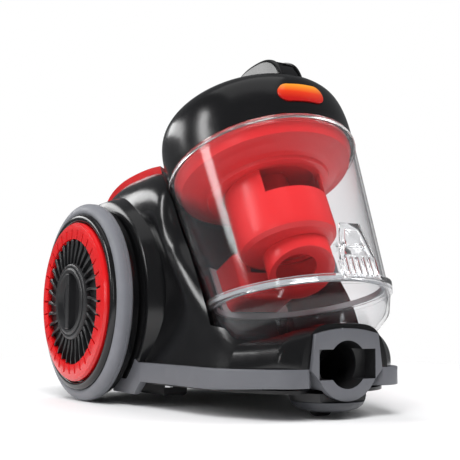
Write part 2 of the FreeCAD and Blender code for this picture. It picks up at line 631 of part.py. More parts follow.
def grip_form():
    """Pad that follows the handle's underside, a little narrower than the handle."""
    side = HANDLE_X - 1.0
    under = [(y, z - 0.4) for y, z in HANDLE_UNDER[1:]]
    lower = curve_yz(under, -side)
    upper = lower.copy()
    upper.translate(V(0, -0.6 * PAD_T, PAD_T))
    return Part.makeRuledSurface(lower, upper).extrude(V(2 * side, 0, 0))


def grip_insert():
    """Soft grey pad on the underside of the handle."""
    lid = fuse([lid_form(), lid_crown()]).cut(finger_scoop(0.0))
    return placed(largest(grip_form().cut(lid)), BIN)


def release_button():
    """Catch in the handle's front slot that frees the bin; it is pressed down along the bin axis."""
    rear = SLOT_Y - 0.4
    side = SLOT_X - 0.5
    cap = prism_x([(rear, BUTTON_Z), (rear, 208), (-66, 207), (-74, 200), (-77, 190), (-77, BUTTON_Z)], -side, side)
    edges = [e for e in cap.Edges if abs(abs(e.CenterOfMass.x) - side) < 0.1 and e.BoundBox.XLength < 1
             and e.CenterOfMass.z > 188 and e.CenterOfMass.y < rear - 1]
    return placed(cap.makeFillet(1.2, edges), BIN)


def button_spring():
    return placed(tube(4.5, 3.2, V(0, -70, SEAT_Z), Z, BUTTON_Z - SEAT_Z), BIN)


BADGE_Z = 157.0
BADGE_X = (-20.0, 8.0)     # centres of its two round ends


def badge_plate():
    """Plain lozenge on the lid's front, with no lettering."""
    ring = Part.makeCylinder(90.4, 40, V(0, 0, 140)).cut(Part.makeCylinder(88.0, 40, V(0, 0, 140)))
    ends = [Part.makeCylinder(9.0, 60, V(x, -120, BADGE_Z), Y) for x in BADGE_X]
    middle = box(*BADGE_X, -120, -60, BADGE_Z - 9, BADGE_Z + 9)
    shape = fuse(ends + [middle])
    return placed(largest(ring.cut(lid_form()).common(shape)), BIN)


def premotor_filter():
    return placed(Part.makeCylinder(74, 16, V(0, 0, 138.5)), BIN)


def duct_gasket():
    """Grey frame on the casing that the bin's inlet port seals against."""
    frame = box(-29, 29, 83.2, 92.6, 25.5, 62).cut(box(-24, 24, 80, 100, 28, 58))
    near = Part.makeCylinder(82.2, 200, V(0, 0, -50))
    far = placed(bin_envelope(3.4), BIN.inverse())
    return placed(largest(frame.cut(near).common(far)), BIN)


# ---- rear wheels and exhaust covers --------------------------------------------------------
def around_axle(outline):
    """(|x|, r) outline turned about the rear axle, on the +X side."""
    return revolve([(r, x) for x, r in outline], V(0, AXLE_Y, AXLE_Z), X, Y)


def tyre():
    """Grey tread ring with rounded shoulders."""
    return around_axle([(TYRE_IN, TYRE_SEAT_R), (TYRE_IN, 92), (TYRE_IN + 0.9, 94.1), (TYRE_IN + 3, WHEEL_R),
                        (TYRE_OUT - 5, WHEEL_R), (TYRE_OUT - 2, 94), (TYRE_OUT, 91.5), (TYRE_OUT + 1, 87),
                        (TYRE_OUT, TYRE_SEAT_R)])


def wheel_rim():
    """Glossy black ring that carries the tyre and turns on the fixed hub."""
    bore = HUB_R + RUNNING
    return around_axle([(RIM_IN, bore), (RIM_IN, 88.5), (RIM_IN + 2, 90.5), (TYRE_IN, 90.5),
                        (TYRE_IN, TYRE_SEAT_R), (TYRE_OUT, TYRE_SEAT_R),
                        (129.6, 83.4), (130.6, 78.5), (128.6, 77.2), (TYRE_OUT, 77.0), (TYRE_OUT, bore)])


def wheel_hub():
    """Fixed boss on the casing: bearing for the wheel and chamber for the exhaust filter."""
    drum = around_axle([(103.5, 61.5), (103.5, HUB_R), (HUB_OUT, HUB_R), (HUB_OUT, 61.5)])
    flange = around_axle([(HUB_OUT, 62), (HUB_OUT, 75), (HUB_OUT + 1.4, 75), (HUB_OUT + 1.4, 62)])
    return drum.fuse(flange).removeSplitter()


def exhaust_filter():
    """Pleated disc inside the hub."""
    return Part.makeCylinder(61, 20, V(102, AXLE_Y, AXLE_Z), X)


DISC_R = 76.3
DISC_IN = 60.4
SLOTS = 32


def cover_disc():
    """Red ring with short radial slots."""
    ring = around_axle([(128.4, DISC_IN), (128.4, DISC_R), (131.5, DISC_R), (133.6, 74.5), (134.6, 70),
                        (134.8, DISC_IN)])
    slots = []
    for index in range(SLOTS):
        slot = box(131.5, 140, AXLE_Y - 1.0, AXLE_Y + 1.0, AXLE_Z + 58, AXLE_Z + 69.5)
        slot.rotate(V(0, AXLE_Y, AXLE_Z), X, 360.0 * index / SLOTS)
        slots.append(slot)
    return ring.cut(slots[0].multiFuse(slots[1:]))


def cover_grille():
    """Black grille inside the red ring: a thin back, a hub and radial fins."""
    back = around_axle([(128.4, 32.2), (128.4, 60), (130, 60), (130, 32.2)])
    hub = around_axle([(128.4, 32.2), (128.4, 36.5), (135.6, 36.5), (136.2, 34), (136.2, 32.2)])
    fins = []
    for index in range(SLOTS):
        fin = box(129.5, 134.2, AXLE_Y - 1.5, AXLE_Y + 1.5, AXLE_Z + 35.5, AXLE_Z + 59.6)
        fin.rotate(V(0, AXLE_Y, AXLE_Z), X, 360.0 * (index + 0.5) / SLOTS)
        fins.append(fin)
    return back.multiFuse([hub] + fins).removeSplitter()


def cover_knob():
    """Dished grip with an upright ridge, for twisting the cover off."""
    dish = around_axle([(128.4, 0), (128.4, 32), (136.4, 32), (137.4, 30), (137.2, 27.5), (131.5, 25), (131.5, 0)])
    ridge = box(130, 138.8, AXLE_Y - 3.2, AXLE_Y + 3.2, AXLE_Z - 26.5, AXLE_Z + 26.5)
    ridge = ridge.makeFillet(1.2, [e for e in ridge.Edges if e.BoundBox.XMin > 138])
    return dish.fuse(ridge).removeSplitter()


# ---- castor --------------------------------------------------------------------------------
def castor_dome():
    """Dished swivel plate with a neck and a stem; the wheel sits in a pocket below it."""
    dome = revolve([(0, 5.5), (18, 5.5), (25, 7.6), (29.3, 11), (30.8, CASTOR_SPLIT - 0.4),
                    (CASTOR_NECK_R, CASTOR_SPLIT - 0.4), (CASTOR_NECK_R, PAN_Z - 0.5), (0, PAN_Z - 0.5)],
                   V(0, CASTOR_Y, 0))
    stem = Part.makeCylinder(CASTOR_STEM_R, PAN_FLOOR - 18.2, V(0, CASTOR_Y, 18))
    wheel_y = CASTOR_Y + CASTOR_TRAIL
    pocket = box(-8.5, 8.5, wheel_y - 9.5, wheel_y + 9.5, 0, 17.8)
    axle = Part.makeCylinder(2, 26, V(-13, wheel_y, CASTOR_WHEEL_R), X)
    return largest(cut(dome.fuse(stem), [pocket, axle]))


def castor_wheel():
    y = CASTOR_Y + CASTOR_TRAIL
    wheel = revolve([(2 + RUNNING, -7.5), (7.3, -7.5), (CASTOR_WHEEL_R, -5.5), (CASTOR_WHEEL_R, 5.5), (7.3, 7.5),
                     (2 + RUNNING, 7.5)], V(0, y, CASTOR_WHEEL_R), X, Y)
    return wheel


def castor_axle():
    return Part.makeCylinder(2, 25, V(-12.5, CASTOR_Y + CASTOR_TRAIL, CASTOR_WHEEL_R), X)


# ---- motor, reel and controls --------------------------------------------------------------
MOTOR = V(0, 82, 90)
MOTOR_R = 46.0
SHAFT_R = 4.0


def on_motor(r_out, r_in, x0, x1):
    return tube(r_out, r_in, V(x0, MOTOR.y, MOTOR.z), X, x1 - x0)


def motor_casing():
    can = revolve([(8, -52), (MOTOR_R, -52), (MOTOR_R, 66), (20, 66), (20, 63), (MOTOR_R - 3, 63),
                   (MOTOR_R - 3, -49), (8, -49)], MOTOR, X, Y)
    spider = on_motor(MOTOR_R - 3, 8, 44, 47)
    vents = [Part.makeCylinder(6, 8, V(42, MOTOR.y, MOTOR.z + 28), X) for _ in range(8)]
    for index, vent in enumerate(vents):
        vent.rotate(MOTOR, X, 45 * index)
    return cut(can.fuse(spider), vents)


def motor_bearings():
    return Part.makeCompound([on_motor(8, SHAFT_R + 0.03, -52, -46), on_motor(8, SHAFT_R + 0.03, 43, 48)])


def motor_stator():
    return on_motor(MOTOR_R - 3.0, 25.5, -28, 28)


def motor_rotor():
    """Armature with its shaft."""
    shaft = Part.makeCylinder(SHAFT_R, 112, V(-53, MOTOR.y, MOTOR.z), X)
    return shaft.fuse(Part.makeCylinder(24.5, 60, V(-30, MOTOR.y, MOTOR.z), X)).removeSplitter()


def fan_impeller():
    """Centrifugal fan: two discs with curved-back blades."""
    discs = [on_motor(40, SHAFT_R, 50, 51.5), on_motor(40, 18, 59, 60.2), on_motor(9, SHAFT_R, 50, 58.5)]
    blades = []
    for index in range(9):
        blade = Part.makeBox(8.5, 22, 1.2, V(51, MOTOR.y + 17, MOTOR.z))
        blade.rotate(V(0, MOTOR.y + 17, MOTOR.z), X, 35)
        blade.rotate(MOTOR, X, 40 * index)
        blades.append(blade)
    return discs[0].multiFuse(discs[1:] + blades).removeSplitter()


def motor_mounts():
    """Rubber rings between the motor and its cradle."""
    return Part.makeCompound([on_motor(MOTOR_R + 4, MOTOR_R, x, x + 8) for x in (-41, 33)])


def motor_cradle():
    plates = [box(x, x + 8, 42, 122, PAN_FLOOR, 78) for x in (-41, 33)]
    tie = box(-41, 41, 42, 122, PAN_FLOOR, PAN_FLOOR + 3)
    return fuse(plates + [tie]).cut(Part.makeCylinder(MOTOR_R + 4, 200, V(-100, MOTOR.y, MOTOR.z), X))


REEL = V(0, 146, 92)
REEL_R = 42.0


def on_reel(r_out, r_in, y0, y1):
    return tube(r_out, r_in, V(0, y0, REEL.z), Y, y1 - y0)


def reel_drum():
    """Cord drum: two flanges and a core."""
    core = on_reel(24, 6 + RUNNING, 138, 160)
    return fuse([core, on_reel(REEL_R, 20, 136.5, 138.5), on_reel(REEL_R, 20, 159, 161)])


def reel_axle():
    """Fixed axle with a foot plate on the floor of the casing."""
    post = box(-14, 14, 162, 166, PAN_FLOOR, REEL.z + 10)
    return post.fuse(Part.makeCylinder(6, 32, V(0, 134, REEL.z), Y)).removeSplitter()


def reel_spring_case():
    return on_reel(38, 6.0, 166.0, 172.0)


def cord_gland():
    """Outlet bush for the mains cord in the rear wall."""
    bush = fuse([tube(9.0, 4.2, V(48, 160, 120), Y, 24.5), tube(12, 4.2, V(48, 158, 120), Y, 3)])
    return bush.common(box(0, 100, 150, 185, 100, 140))


def control_board():
    """Circuit board with its bracket, a choke and the power switch under the left pedal."""
    board = box(-62, -6, 126, 132, 150, 151.6).fuse(box(-60, -8, 128.5, 130.5, 144, 180))
    choke = box(-52, -32, 124, 134, 151.6, 163)
    switch = box(-46, -28, 122, 141, 168, 184).fuse(box(-40, -34, 128, 134, 184, SHELF_TOP - 2.1))
    return fuse([board, choke, switch])


def base_screws():
    """Screws that hold the pan to the casing."""
    points = [(x, y) for x in (-86, 86) for y in (-20, 110)] + [(-50, 160), (50, 160)]
    screws = []
    for x, y in points:
        head = Part.makeCylinder(3.6, 1.8, V(x, y, PAN_Z - 1.8))
        recess = Part.makeBox(4.4, 1.0, 0.8, V(x - 2.2, y - 0.5, PAN_Z - 1.8))
        screws.append(head.cut(recess))
    return Part.makeCompound(screws)


# ---- export --------------------------------------------------------------------------------
def sided(prefix, shape):
    """The same piece on both sides: as built on the right, mirrored on the left."""
    return {"right_" + prefix: shape, "left_" + prefix: mirror_x(shape)}


def build():
    nodes = {
        "main_housing": main_housing(), "top_cover": top_cover(), "base_pan": base_pan(),
        "bumper_band": bumper_band(), "hose_collar": hose_collar(), "nose_cover": nose_cover(),
        "hose_duct": hose_duct(), "duct_gasket": duct_gasket(),
        "bin_wall": bin_wall(), "bottom_ring": bottom_ring(), "rim_seal": rim_seal(),
        "flap_gasket": flap_gasket(), "inlet_seal": port_seal(), "inlet_scoop": inlet_scoop(),
        "separator_flange": separator_flange(), "cyclone_body": cyclone_body(),
        "cyclone_nozzle": cyclone_nozzle(), "inner_column": inner_column(),
        "premotor_filter": premotor_filter(),
        "bottom_flap": bottom_flap(), "hinge_pins": hinge_pins(),
        "flap_clip": flap_clip(),
        "lid_shell": lid_shell(), "carry_handle": carry_handle(), "grip_insert": grip_insert(),
        "release_button": release_button(), "button_spring": button_spring(),
        "badge_plate": badge_plate(),
        "castor_dome": castor_dome(), "castor_wheel": castor_wheel(), "castor_axle": castor_axle(),
        "motor_casing": motor_casing(), "motor_bearings": motor_bearings(), "motor_stator": motor_stator(),
        "motor_rotor": motor_rotor(), "fan_impeller": fan_impeller(),
        "motor_mounts": motor_mounts(), "motor_cradle": motor_cradle(),
        "reel_drum": reel_drum(), "reel_axle": reel_axle(), "reel_spring_case": reel_spring_case(),
        "cord_gland": cord_gland(), "control_board": control_board(),
        "power_pedal": pedal(-1), "rewind_pedal": pedal(1),
        "pedal_bracket": pedal_bracket(), "pedal_springs": pedal_springs(),
        "base_screws": base_screws(),
    }
    for prefix, maker in (("tyre", tyre), ("wheel_rim", wheel_rim), ("cover_disc", cover_disc),
                          ("cover_grille", cover_grille), ("cover_knob", cover_knob)):
        nodes.update(sided(prefix, maker()))
    for name, maker in (("wheel_hubs", wheel_hub), ("exhaust_filters", exhaust_filter)):
        nodes[name] = Part.makeCompound(list(sided(name, maker()).values()))
    return nodes


if __name__ == "__main__":
    os.makedirs("parts", exist_ok=True)
    for name, shape in build().items():
        shape.exportStep("parts/" + name + ".step")
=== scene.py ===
"""Looks of a bagless cylinder vacuum cleaner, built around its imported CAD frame.

Metres, in the frame's own axes: +Z up, the hose socket towards -Y, the rear axle along X.
"""

import json
import logging
import math
from dataclasses import dataclass, field
from enum import Enum
from typing import Callable, Iterable, Sequence

import bmesh
import bpy
from mathutils import Matrix, Vector

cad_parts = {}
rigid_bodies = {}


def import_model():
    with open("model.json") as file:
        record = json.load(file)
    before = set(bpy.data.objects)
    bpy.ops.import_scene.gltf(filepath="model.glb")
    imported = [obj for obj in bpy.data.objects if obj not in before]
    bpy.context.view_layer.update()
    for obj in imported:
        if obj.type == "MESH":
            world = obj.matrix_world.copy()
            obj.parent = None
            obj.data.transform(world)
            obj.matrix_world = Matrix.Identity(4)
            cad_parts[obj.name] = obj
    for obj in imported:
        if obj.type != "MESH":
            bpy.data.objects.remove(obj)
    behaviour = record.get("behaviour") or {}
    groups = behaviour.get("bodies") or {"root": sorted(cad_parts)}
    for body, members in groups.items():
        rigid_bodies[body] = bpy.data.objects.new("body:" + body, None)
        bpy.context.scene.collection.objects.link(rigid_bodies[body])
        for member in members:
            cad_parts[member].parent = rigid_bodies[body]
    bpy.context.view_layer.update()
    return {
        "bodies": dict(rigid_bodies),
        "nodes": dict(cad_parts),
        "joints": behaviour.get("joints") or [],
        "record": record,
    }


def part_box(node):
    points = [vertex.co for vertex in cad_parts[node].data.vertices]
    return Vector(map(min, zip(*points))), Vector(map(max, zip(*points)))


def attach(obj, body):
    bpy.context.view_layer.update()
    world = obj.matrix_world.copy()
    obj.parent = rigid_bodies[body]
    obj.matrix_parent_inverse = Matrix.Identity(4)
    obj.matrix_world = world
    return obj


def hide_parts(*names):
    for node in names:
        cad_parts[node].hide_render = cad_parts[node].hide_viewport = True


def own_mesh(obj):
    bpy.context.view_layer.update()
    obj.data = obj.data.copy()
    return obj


LOG = logging.getLogger("cleaner")
MM = 0.001
Colour = tuple[float, float, float]
Place = tuple[float, float, float]


class Grain(Enum):
    """Kinds of surface relief a finish can carry."""

    ORANGE_PEEL = "orange peel of polished moulded plastic"
    SPARK = "fine spark-eroded mould texture"
    RUBBER = "dull rubber skin"
    BRUSHED = "lines along one direction"
    FOAM = "open foam cells"
    PLEATS = "folded filter paper"
    WINDING = "close turns of wire"


@dataclass(frozen=True)
class GrainSpec:
    """Numbers of one kind of relief: texture scale per metre, stretch, bump strength and depth."""

    scale: float
    stretch: Colour
    strength: float
    depth: float


GRAINS: dict[Grain, GrainSpec] = {
    Grain.ORANGE_PEEL: GrainSpec(160.0, (1, 1, 1), 0.05, 0.00012),
    Grain.SPARK: GrainSpec(2600.0, (1, 1, 1), 0.25, 0.00012),
    Grain.RUBBER: GrainSpec(1500.0, (1, 1, 1), 0.30, 0.00012),
    Grain.BRUSHED: GrainSpec(900.0, (0.05, 1, 1), 0.20, 0.00008),
    Grain.FOAM: GrainSpec(900.0, (1, 1, 1), 0.80, 0.0006),
    Grain.PLEATS: GrainSpec(90.0, (1, 1, 1), 0.90, 0.0012),
    Grain.WINDING: GrainSpec(350.0, (1, 1, 1), 0.90, 0.0004),
}


@dataclass(frozen=True)
class Finish:
    """A solid finish with colour variation, uneven gloss and a fine relief.

    Attributes:
        name: Name of the material.
        slot: Material slot of the record that it belongs to; not used.
        colour: Linear base colour.
        gloss: Lowest and highest roughness over the surface.
        grain: Kind of relief.
        variation: Share by which the colour drifts darker and lighter.
        metallic: Metallic value of the shader.
        coat: Weight of the clear coat.
        ior: Index of refraction.
        sheen: Weight of a dusty sheen.
        glass: Share of light that is refracted through it.
    """

    name: str
    slot: str
    colour: Colour
    gloss: tuple[float, float]
    grain: Grain
    variation: float = 0.08
    metallic: float = 0.0
    coat: float = 0.0
    ior: float = 1.5
    sheen: float = 0.0
    glass: float = 0.0

    def material(self) -> bpy.types.Material:
        """Build the material, or return it if it is already there.

        Returns:
            The node material of this finish.
        """
        found = bpy.data.materials.get(self.name)
        if found is not None:
            return found
        made = bpy.data.materials.new(self.name)
        made.use_nodes = True
        made.diffuse_color = (*self.colour, 1.0)
        tree = made.node_tree
        shader = tree.nodes["Principled BSDF"]
        shader.inputs["Metallic"].default_value = self.metallic
        shader.inputs["IOR"].default_value = self.ior
        shader.inputs["Coat Weight"].default_value = self.coat
        shader.inputs["Coat Roughness"].default_value = 0.03
        shader.inputs["Sheen Weight"].default_value = self.sheen
        shader.inputs["Transmission Weight"].default_value = self.glass
        place = tree.nodes.new("ShaderNodeTexCoord")
        self._drift(tree, place, shader)
        self._relief(tree, place, shader)
        return made

    def _drift(self, tree: bpy.types.NodeTree, place: bpy.types.Node, shader: bpy.types.Node) -> None:
        """Slow drift of colour and gloss over the surface.

        Args:
            tree: Node tree of the material.
            place: Texture coordinate node.
            shader: Principled node that gets the colour and the roughness.
        """
        cloud = tree.nodes.new("ShaderNodeTexNoise")
        cloud.inputs["Scale"].default_value = 22.0
        cloud.inputs["Detail"].default_value = 4.0
        tree.links.new(place.outputs["Object"], cloud.inputs["Vector"])
        ramp = tree.nodes.new("ShaderNodeValToRGB")
        low, high = 1.0 - self.variation, 1.0 + self.variation
        ramp.color_ramp.elements[0].position = 0.3
        ramp.color_ramp.elements[0].color = (*[c * low for c in self.colour], 1.0)
        ramp.color_ramp.elements[1].position = 0.7
        ramp.color_ramp.elements[1].color = (*[min(1.0, c * high) for c in self.colour], 1.0)
        tree.links.new(cloud.outputs["Fac"], ramp.inputs["Fac"])
        tree.links.new(ramp.outputs["Color"], shader.inputs["Base Color"])
        haze = tree.nodes.new("ShaderNodeTexNoise")
        haze.inputs["Scale"].default_value = 60.0
        haze.inputs["Detail"].default_value = 5.0
        tree.links.new(place.outputs["Object"], haze.inputs["Vector"])
        spread = tree.nodes.new("ShaderNodeMapRange")
        spread.inputs["From Min"].default_value = 0.3
        spread.inputs["From Max"].default_value = 0.7
        spread.inputs["To Min"].default_value = self.gloss[0]
        spread.inputs["To Max"].default_value = self.gloss[1]
        tree.links.new(haze.outputs["Fac"], spread.inputs["Value"])
        tree.links.new(spread.outputs["Result"], shader.inputs["Roughness"])

    def _relief(self, tree: bpy.types.NodeTree, place: bpy.types.Node, shader: bpy.types.Node) -> None:
        """Fine relief that breaks up the highlights.

        Args:
            tree: Node tree of the material.
            place: Texture coordinate node.
            shader: Principled node that gets the normal.
        """
        spec = GRAINS[self.grain]
        stretch = tree.nodes.new("ShaderNodeMapping")
        stretch.inputs["Scale"].default_value = spec.stretch
        tree.links.new(place.outputs["Object"], stretch.inputs["Vector"])
        if self.grain is Grain.FOAM:
            relief = tree.nodes.new("ShaderNodeTexVoronoi")
            height = relief.outputs["Distance"]
        elif self.grain in (Grain.PLEATS, Grain.WINDING):
            relief = tree.nodes.new("ShaderNodeTexWave")
            relief.inputs["Distortion"].default_value = 0.4
            height = relief.outputs["Fac"]
        else:
            relief = tree.nodes.new("ShaderNodeTexNoise")
            relief.inputs["Detail"].default_value = 3.0
            height = relief.outputs["Fac"]
        relief.inputs["Scale"].default_value = spec.scale
        tree.links.new(stretch.outputs["Vector"], relief.inputs["Vector"])
        bump = tree.nodes.new("ShaderNodeBump")
        bump.inputs["Strength"].default_value = spec.strength
        bump.inputs["Distance"].default_value = spec.depth
        tree.links.new(height, bump.inputs["Height"])
        tree.links.new(bump.outputs["Normal"], shader.inputs["Normal"])


@dataclass(frozen=True)
class ClearFinish:
    """Clear polycarbonate: light passes straight through, the edges take a grey painted shade standing in
    for refraction, and the surface mirrors.

    Attributes:
        name: Name of the material.
        slot: Material slot of the record; not used.
        tint: Colour of what is seen through it.
        haze: Share of hazy plastic seen face on.
        edge: Share of hazy plastic at grazing angles, which on the clear shells is mostly a painted dark
            edge standing in for refraction.
        haze_and_edge_shade_colour: Colour of the hazy part and of that painted edge shade.
    """

    name: str
    slot: str
    tint: Colour
    haze: float
    edge: float
    haze_and_edge_shade_colour: Colour

    def material(self) -> bpy.types.Material:
        """Build the material, or return it if it is already there.

        Returns:
            The node material of the clear plastic.
        """
        found = bpy.data.materials.get(self.name)
        if found is not None:
            return found
        made = bpy.data.materials.new(self.name)
        made.use_nodes = True
        made.diffuse_color = (*self.tint, 0.3)
        tree = made.node_tree
        body = tree.nodes["Principled BSDF"]
        # Grey base colour of the hazy part: at grazing angles it paints a dark edge, a painted shade
        # standing in for refraction.
        body.inputs["Base Color"].default_value = (*self.haze_and_edge_shade_colour, 1.0)
        body.inputs["Roughness"].default_value = 0.06
        window = tree.nodes.new("ShaderNodeBsdfTransparent")
        window.inputs["Color"].default_value = (*self.tint, 1.0)
        mirror = tree.nodes.new("ShaderNodeBsdfGlossy")
        mirror.inputs["Roughness"].default_value = 0.09
        facing = tree.nodes.new("ShaderNodeLayerWeight")
        facing.inputs["Blend"].default_value = 0.25
        share = tree.nodes.new("ShaderNodeMapRange")
        share.inputs["To Min"].default_value = self.haze
        share.inputs["To Max"].default_value = self.edge
        tree.links.new(facing.outputs["Facing"], share.inputs["Value"])
        smear = tree.nodes.new("ShaderNodeTexNoise")
        smear.inputs["Scale"].default_value = 30.0
        place = tree.nodes.new("ShaderNodeTexCoord")
        tree.links.new(place.outputs["Object"], smear.inputs["Vector"])
        wave = tree.nodes.new("ShaderNodeBump")
        wave.inputs["Strength"].default_value = 0.04
        wave.inputs["Distance"].default_value = 0.0002
        tree.links.new(smear.outputs["Fac"], wave.inputs["Height"])
        tree.links.new(wave.outputs["Normal"], body.inputs["Normal"])
        tree.links.new(wave.outputs["Normal"], mirror.inputs["Normal"])
        # Mix towards the hazy grey at grazing angles: painted edge shade on the clear shells, real frost on
        # the teeth.
        haze_and_edge_mix = tree.nodes.new("ShaderNodeMixShader")
        tree.links.new(share.outputs["Result"], haze_and_edge_mix.inputs["Fac"])
        tree.links.new(window.outputs["BSDF"], haze_and_edge_mix.inputs[1])
        tree.links.new(body.outputs["BSDF"], haze_and_edge_mix.inputs[2])
        slope = tree.nodes.new("ShaderNodeLayerWeight")
        slope.inputs["Blend"].default_value = 0.5
        steep = tree.nodes.new("ShaderNodeMath")
        steep.operation = "POWER"
        steep.inputs[1].default_value = 5.0
        tree.links.new(slope.outputs["Facing"], steep.inputs[0])
        bounce = tree.nodes.new("ShaderNodeMapRange")
        bounce.inputs["To Min"].default_value = 0.025
        bounce.inputs["To Max"].default_value = 0.80
        tree.links.new(steep.outputs["Value"], bounce.inputs["Value"])
        shine = tree.nodes.new("ShaderNodeMixShader")
        tree.links.new(bounce.outputs["Result"], shine.inputs["Fac"])
        tree.links.new(haze_and_edge_mix.outputs["Shader"], shine.inputs[1])
        tree.links.new(mirror.outputs["BSDF"], shine.inputs[2])
        tree.links.new(shine.outputs["Shader"], tree.nodes["Material Output"].inputs["Surface"])
        return made


@dataclass(frozen=True)
class EnamelFinish:
    """Orange enamel that runs from yellow at the top to red at the bottom.

    Attributes:
        name: Name of the material.
        slot: Material slot of the record; not used.
        low: Height in metres where it is fully red.
        high: Height in metres where it is fully yellow.
    """

    name: str
    slot: str
    low: float
    high: float

    def material(self) -> bpy.types.Material:
        """Build the material.

        Returns:
            The node material of the enamel.
        """
        made = bpy.data.materials.new(self.name)
        made.use_nodes = True
        tree = made.node_tree
        shader = tree.nodes["Principled BSDF"]
        shader.inputs["Roughness"].default_value = 0.18
        shader.inputs["Coat Weight"].default_value = 0.6
        place = tree.nodes.new("ShaderNodeTexCoord")
        axes = tree.nodes.new("ShaderNodeSeparateXYZ")
        tree.links.new(place.outputs["Object"], axes.inputs["Vector"])
        level = tree.nodes.new("ShaderNodeMapRange")
        level.inputs["From Min"].default_value = self.low + 0.2 * (self.high - self.low)
        level.inputs["From Max"].default_value = self.high
        tree.links.new(axes.outputs["Z"], level.inputs["Value"])
        ramp = tree.nodes.new("ShaderNodeValToRGB")
        ramp.color_ramp.elements[0].color = (0.50, 0.006, 0.004, 1.0)
        ramp.color_ramp.elements[1].color = (0.90, 0.34, 0.02, 1.0)
        middle = ramp.color_ramp.elements.new(0.45)
        middle.color = (0.72, 0.04, 0.005, 1.0)
        tree.links.new(level.outputs["Result"], ramp.inputs["Fac"])
        tree.links.new(ramp.outputs["Color"], shader.inputs["Base Color"])
        return made


BLACK_GLOSS = Finish("piano_black_abs", "black_gloss", (0.005, 0.005, 0.0055), (0.17, 0.23),
                     Grain.ORANGE_PEEL, 0.15)
RED_GLOSS = Finish("gloss_red_abs", "red_gloss", (0.66, 0.008, 0.010), (0.20, 0.28),
                   Grain.ORANGE_PEEL, coat=0.08)
RED_SATIN = Finish("satin_red_abs", "red_cyclone", (0.92, 0.028, 0.032), (0.30, 0.40),
                   Grain.ORANGE_PEEL, 0.04)
GREY_SHELL = Finish("grey_textured_abs", "grey_plastic", (0.125, 0.128, 0.142), (0.38, 0.48),
                    Grain.SPARK, 0.06)
TYRE_RUBBER = Finish("grey_soft_tread", "tyre", (0.17, 0.175, 0.195), (0.45, 0.60),
                     Grain.RUBBER, 0.08, sheen=0.1)
SEAL_RUBBER = Finish("pale_silicone", "seal", (0.42, 0.44, 0.46), (0.40, 0.55), Grain.RUBBER, 0.06)
BLACK_SATIN = Finish("satin_black_plastic", "black_matte", (0.012, 0.012, 0.013), (0.32, 0.45),
                     Grain.SPARK, 0.15)
CASTOR_GREY = Finish("dark_grey_plastic", "castor_grey", (0.045, 0.047, 0.054), (0.34, 0.44),
                     Grain.SPARK, 0.1)
STEEL = Finish("drawn_steel", "steel", (0.56, 0.57, 0.58), (0.22, 0.36), Grain.BRUSHED, 0.06, metallic=1.0)
COPPER = Finish("lacquered_winding", "copper", (0.50, 0.20, 0.09), (0.25, 0.38),
                Grain.WINDING, 0.12, metallic=0.9)
FAN_METAL = Finish("pressed_aluminium", "fan_plastic", (0.70, 0.71, 0.72), (0.25, 0.40),
                   Grain.BRUSHED, 0.05, metallic=1.0)
FILTER_FOAM = Finish("filter_foam", "filter", (0.20, 0.21, 0.22), (0.85, 0.95), Grain.FOAM, 0.10)
FILTER_PAPER = Finish("pleated_filter", "filter", (0.74, 0.74, 0.70), (0.80, 0.92), Grain.PLEATS, 0.06)
BOARD_GREEN = Finish("board_lacquer", "board", (0.03, 0.16, 0.06), (0.25, 0.45), Grain.SPARK, 0.2)
# The last colour is the grey painted edge shade that shows at grazing angles.
CLEAR = ClearFinish("clear_polycarbonate", "clear_plastic", (0.975, 0.975, 0.98), 0.003, 0.16,
                    (0.32, 0.33, 0.35))
CLEAR_SOLID = Finish("clear_moulded_acrylic", "clear_plastic", (0.95, 0.955, 0.96), (0.02, 0.05),
                     Grain.ORANGE_PEEL, 0.02, ior=1.42, glass=0.97)
FROSTED = ClearFinish("frosted_teeth", "clear_plastic", (0.90, 0.86, 0.86), 0.45, 0.85, (0.62, 0.56, 0.56))

FINISH_NODES: list[tuple[Finish | ClearFinish, str]] = [
    (BLACK_GLOSS, "main_housing nose_cover lid_shell carry_handle release_button"),
    (BLACK_GLOSS, "left_wheel_rim right_wheel_rim"),
    (RED_GLOSS, "top_cover power_pedal rewind_pedal left_cover_disc right_cover_disc"),
    (RED_SATIN, "separator_flange cyclone_body cyclone_nozzle inner_column inlet_scoop"),
    (GREY_SHELL, "bumper_band hose_collar grip_insert"),
    (TYRE_RUBBER, "left_tyre right_tyre"),
    (CLEAR, "bin_wall bottom_flap"),
    (CLEAR_SOLID, "bottom_ring flap_clip rim_seal"),
    (SEAL_RUBBER, "flap_gasket inlet_seal duct_gasket motor_mounts"),
    (BLACK_SATIN, "base_pan left_cover_grille right_cover_grille left_cover_knob right_cover_knob"),
    (BLACK_SATIN, "wheel_hubs"),
    (BLACK_SATIN, "hose_duct cord_gland pedal_bracket motor_cradle castor_wheel reel_drum"),
    (BLACK_SATIN, "motor_casing"),
    (CASTOR_GREY, "castor_dome"),
    (STEEL, "hinge_pins castor_axle motor_bearings motor_rotor reel_axle reel_spring_case pedal_springs"),
    (STEEL, "button_spring base_screws"),
    (COPPER, "motor_stator"),
    (FAN_METAL, "fan_impeller"),
    (FILTER_FOAM, "premotor_filter"),
    (FILTER_PAPER, "exhaust_filters"),
    (BOARD_GREEN, "control_board"),
]
NODE_FINISHES: dict[str, Finish | ClearFinish] = {
    node: finish for finish, nodes in FINISH_NODES for node in nodes.split()}


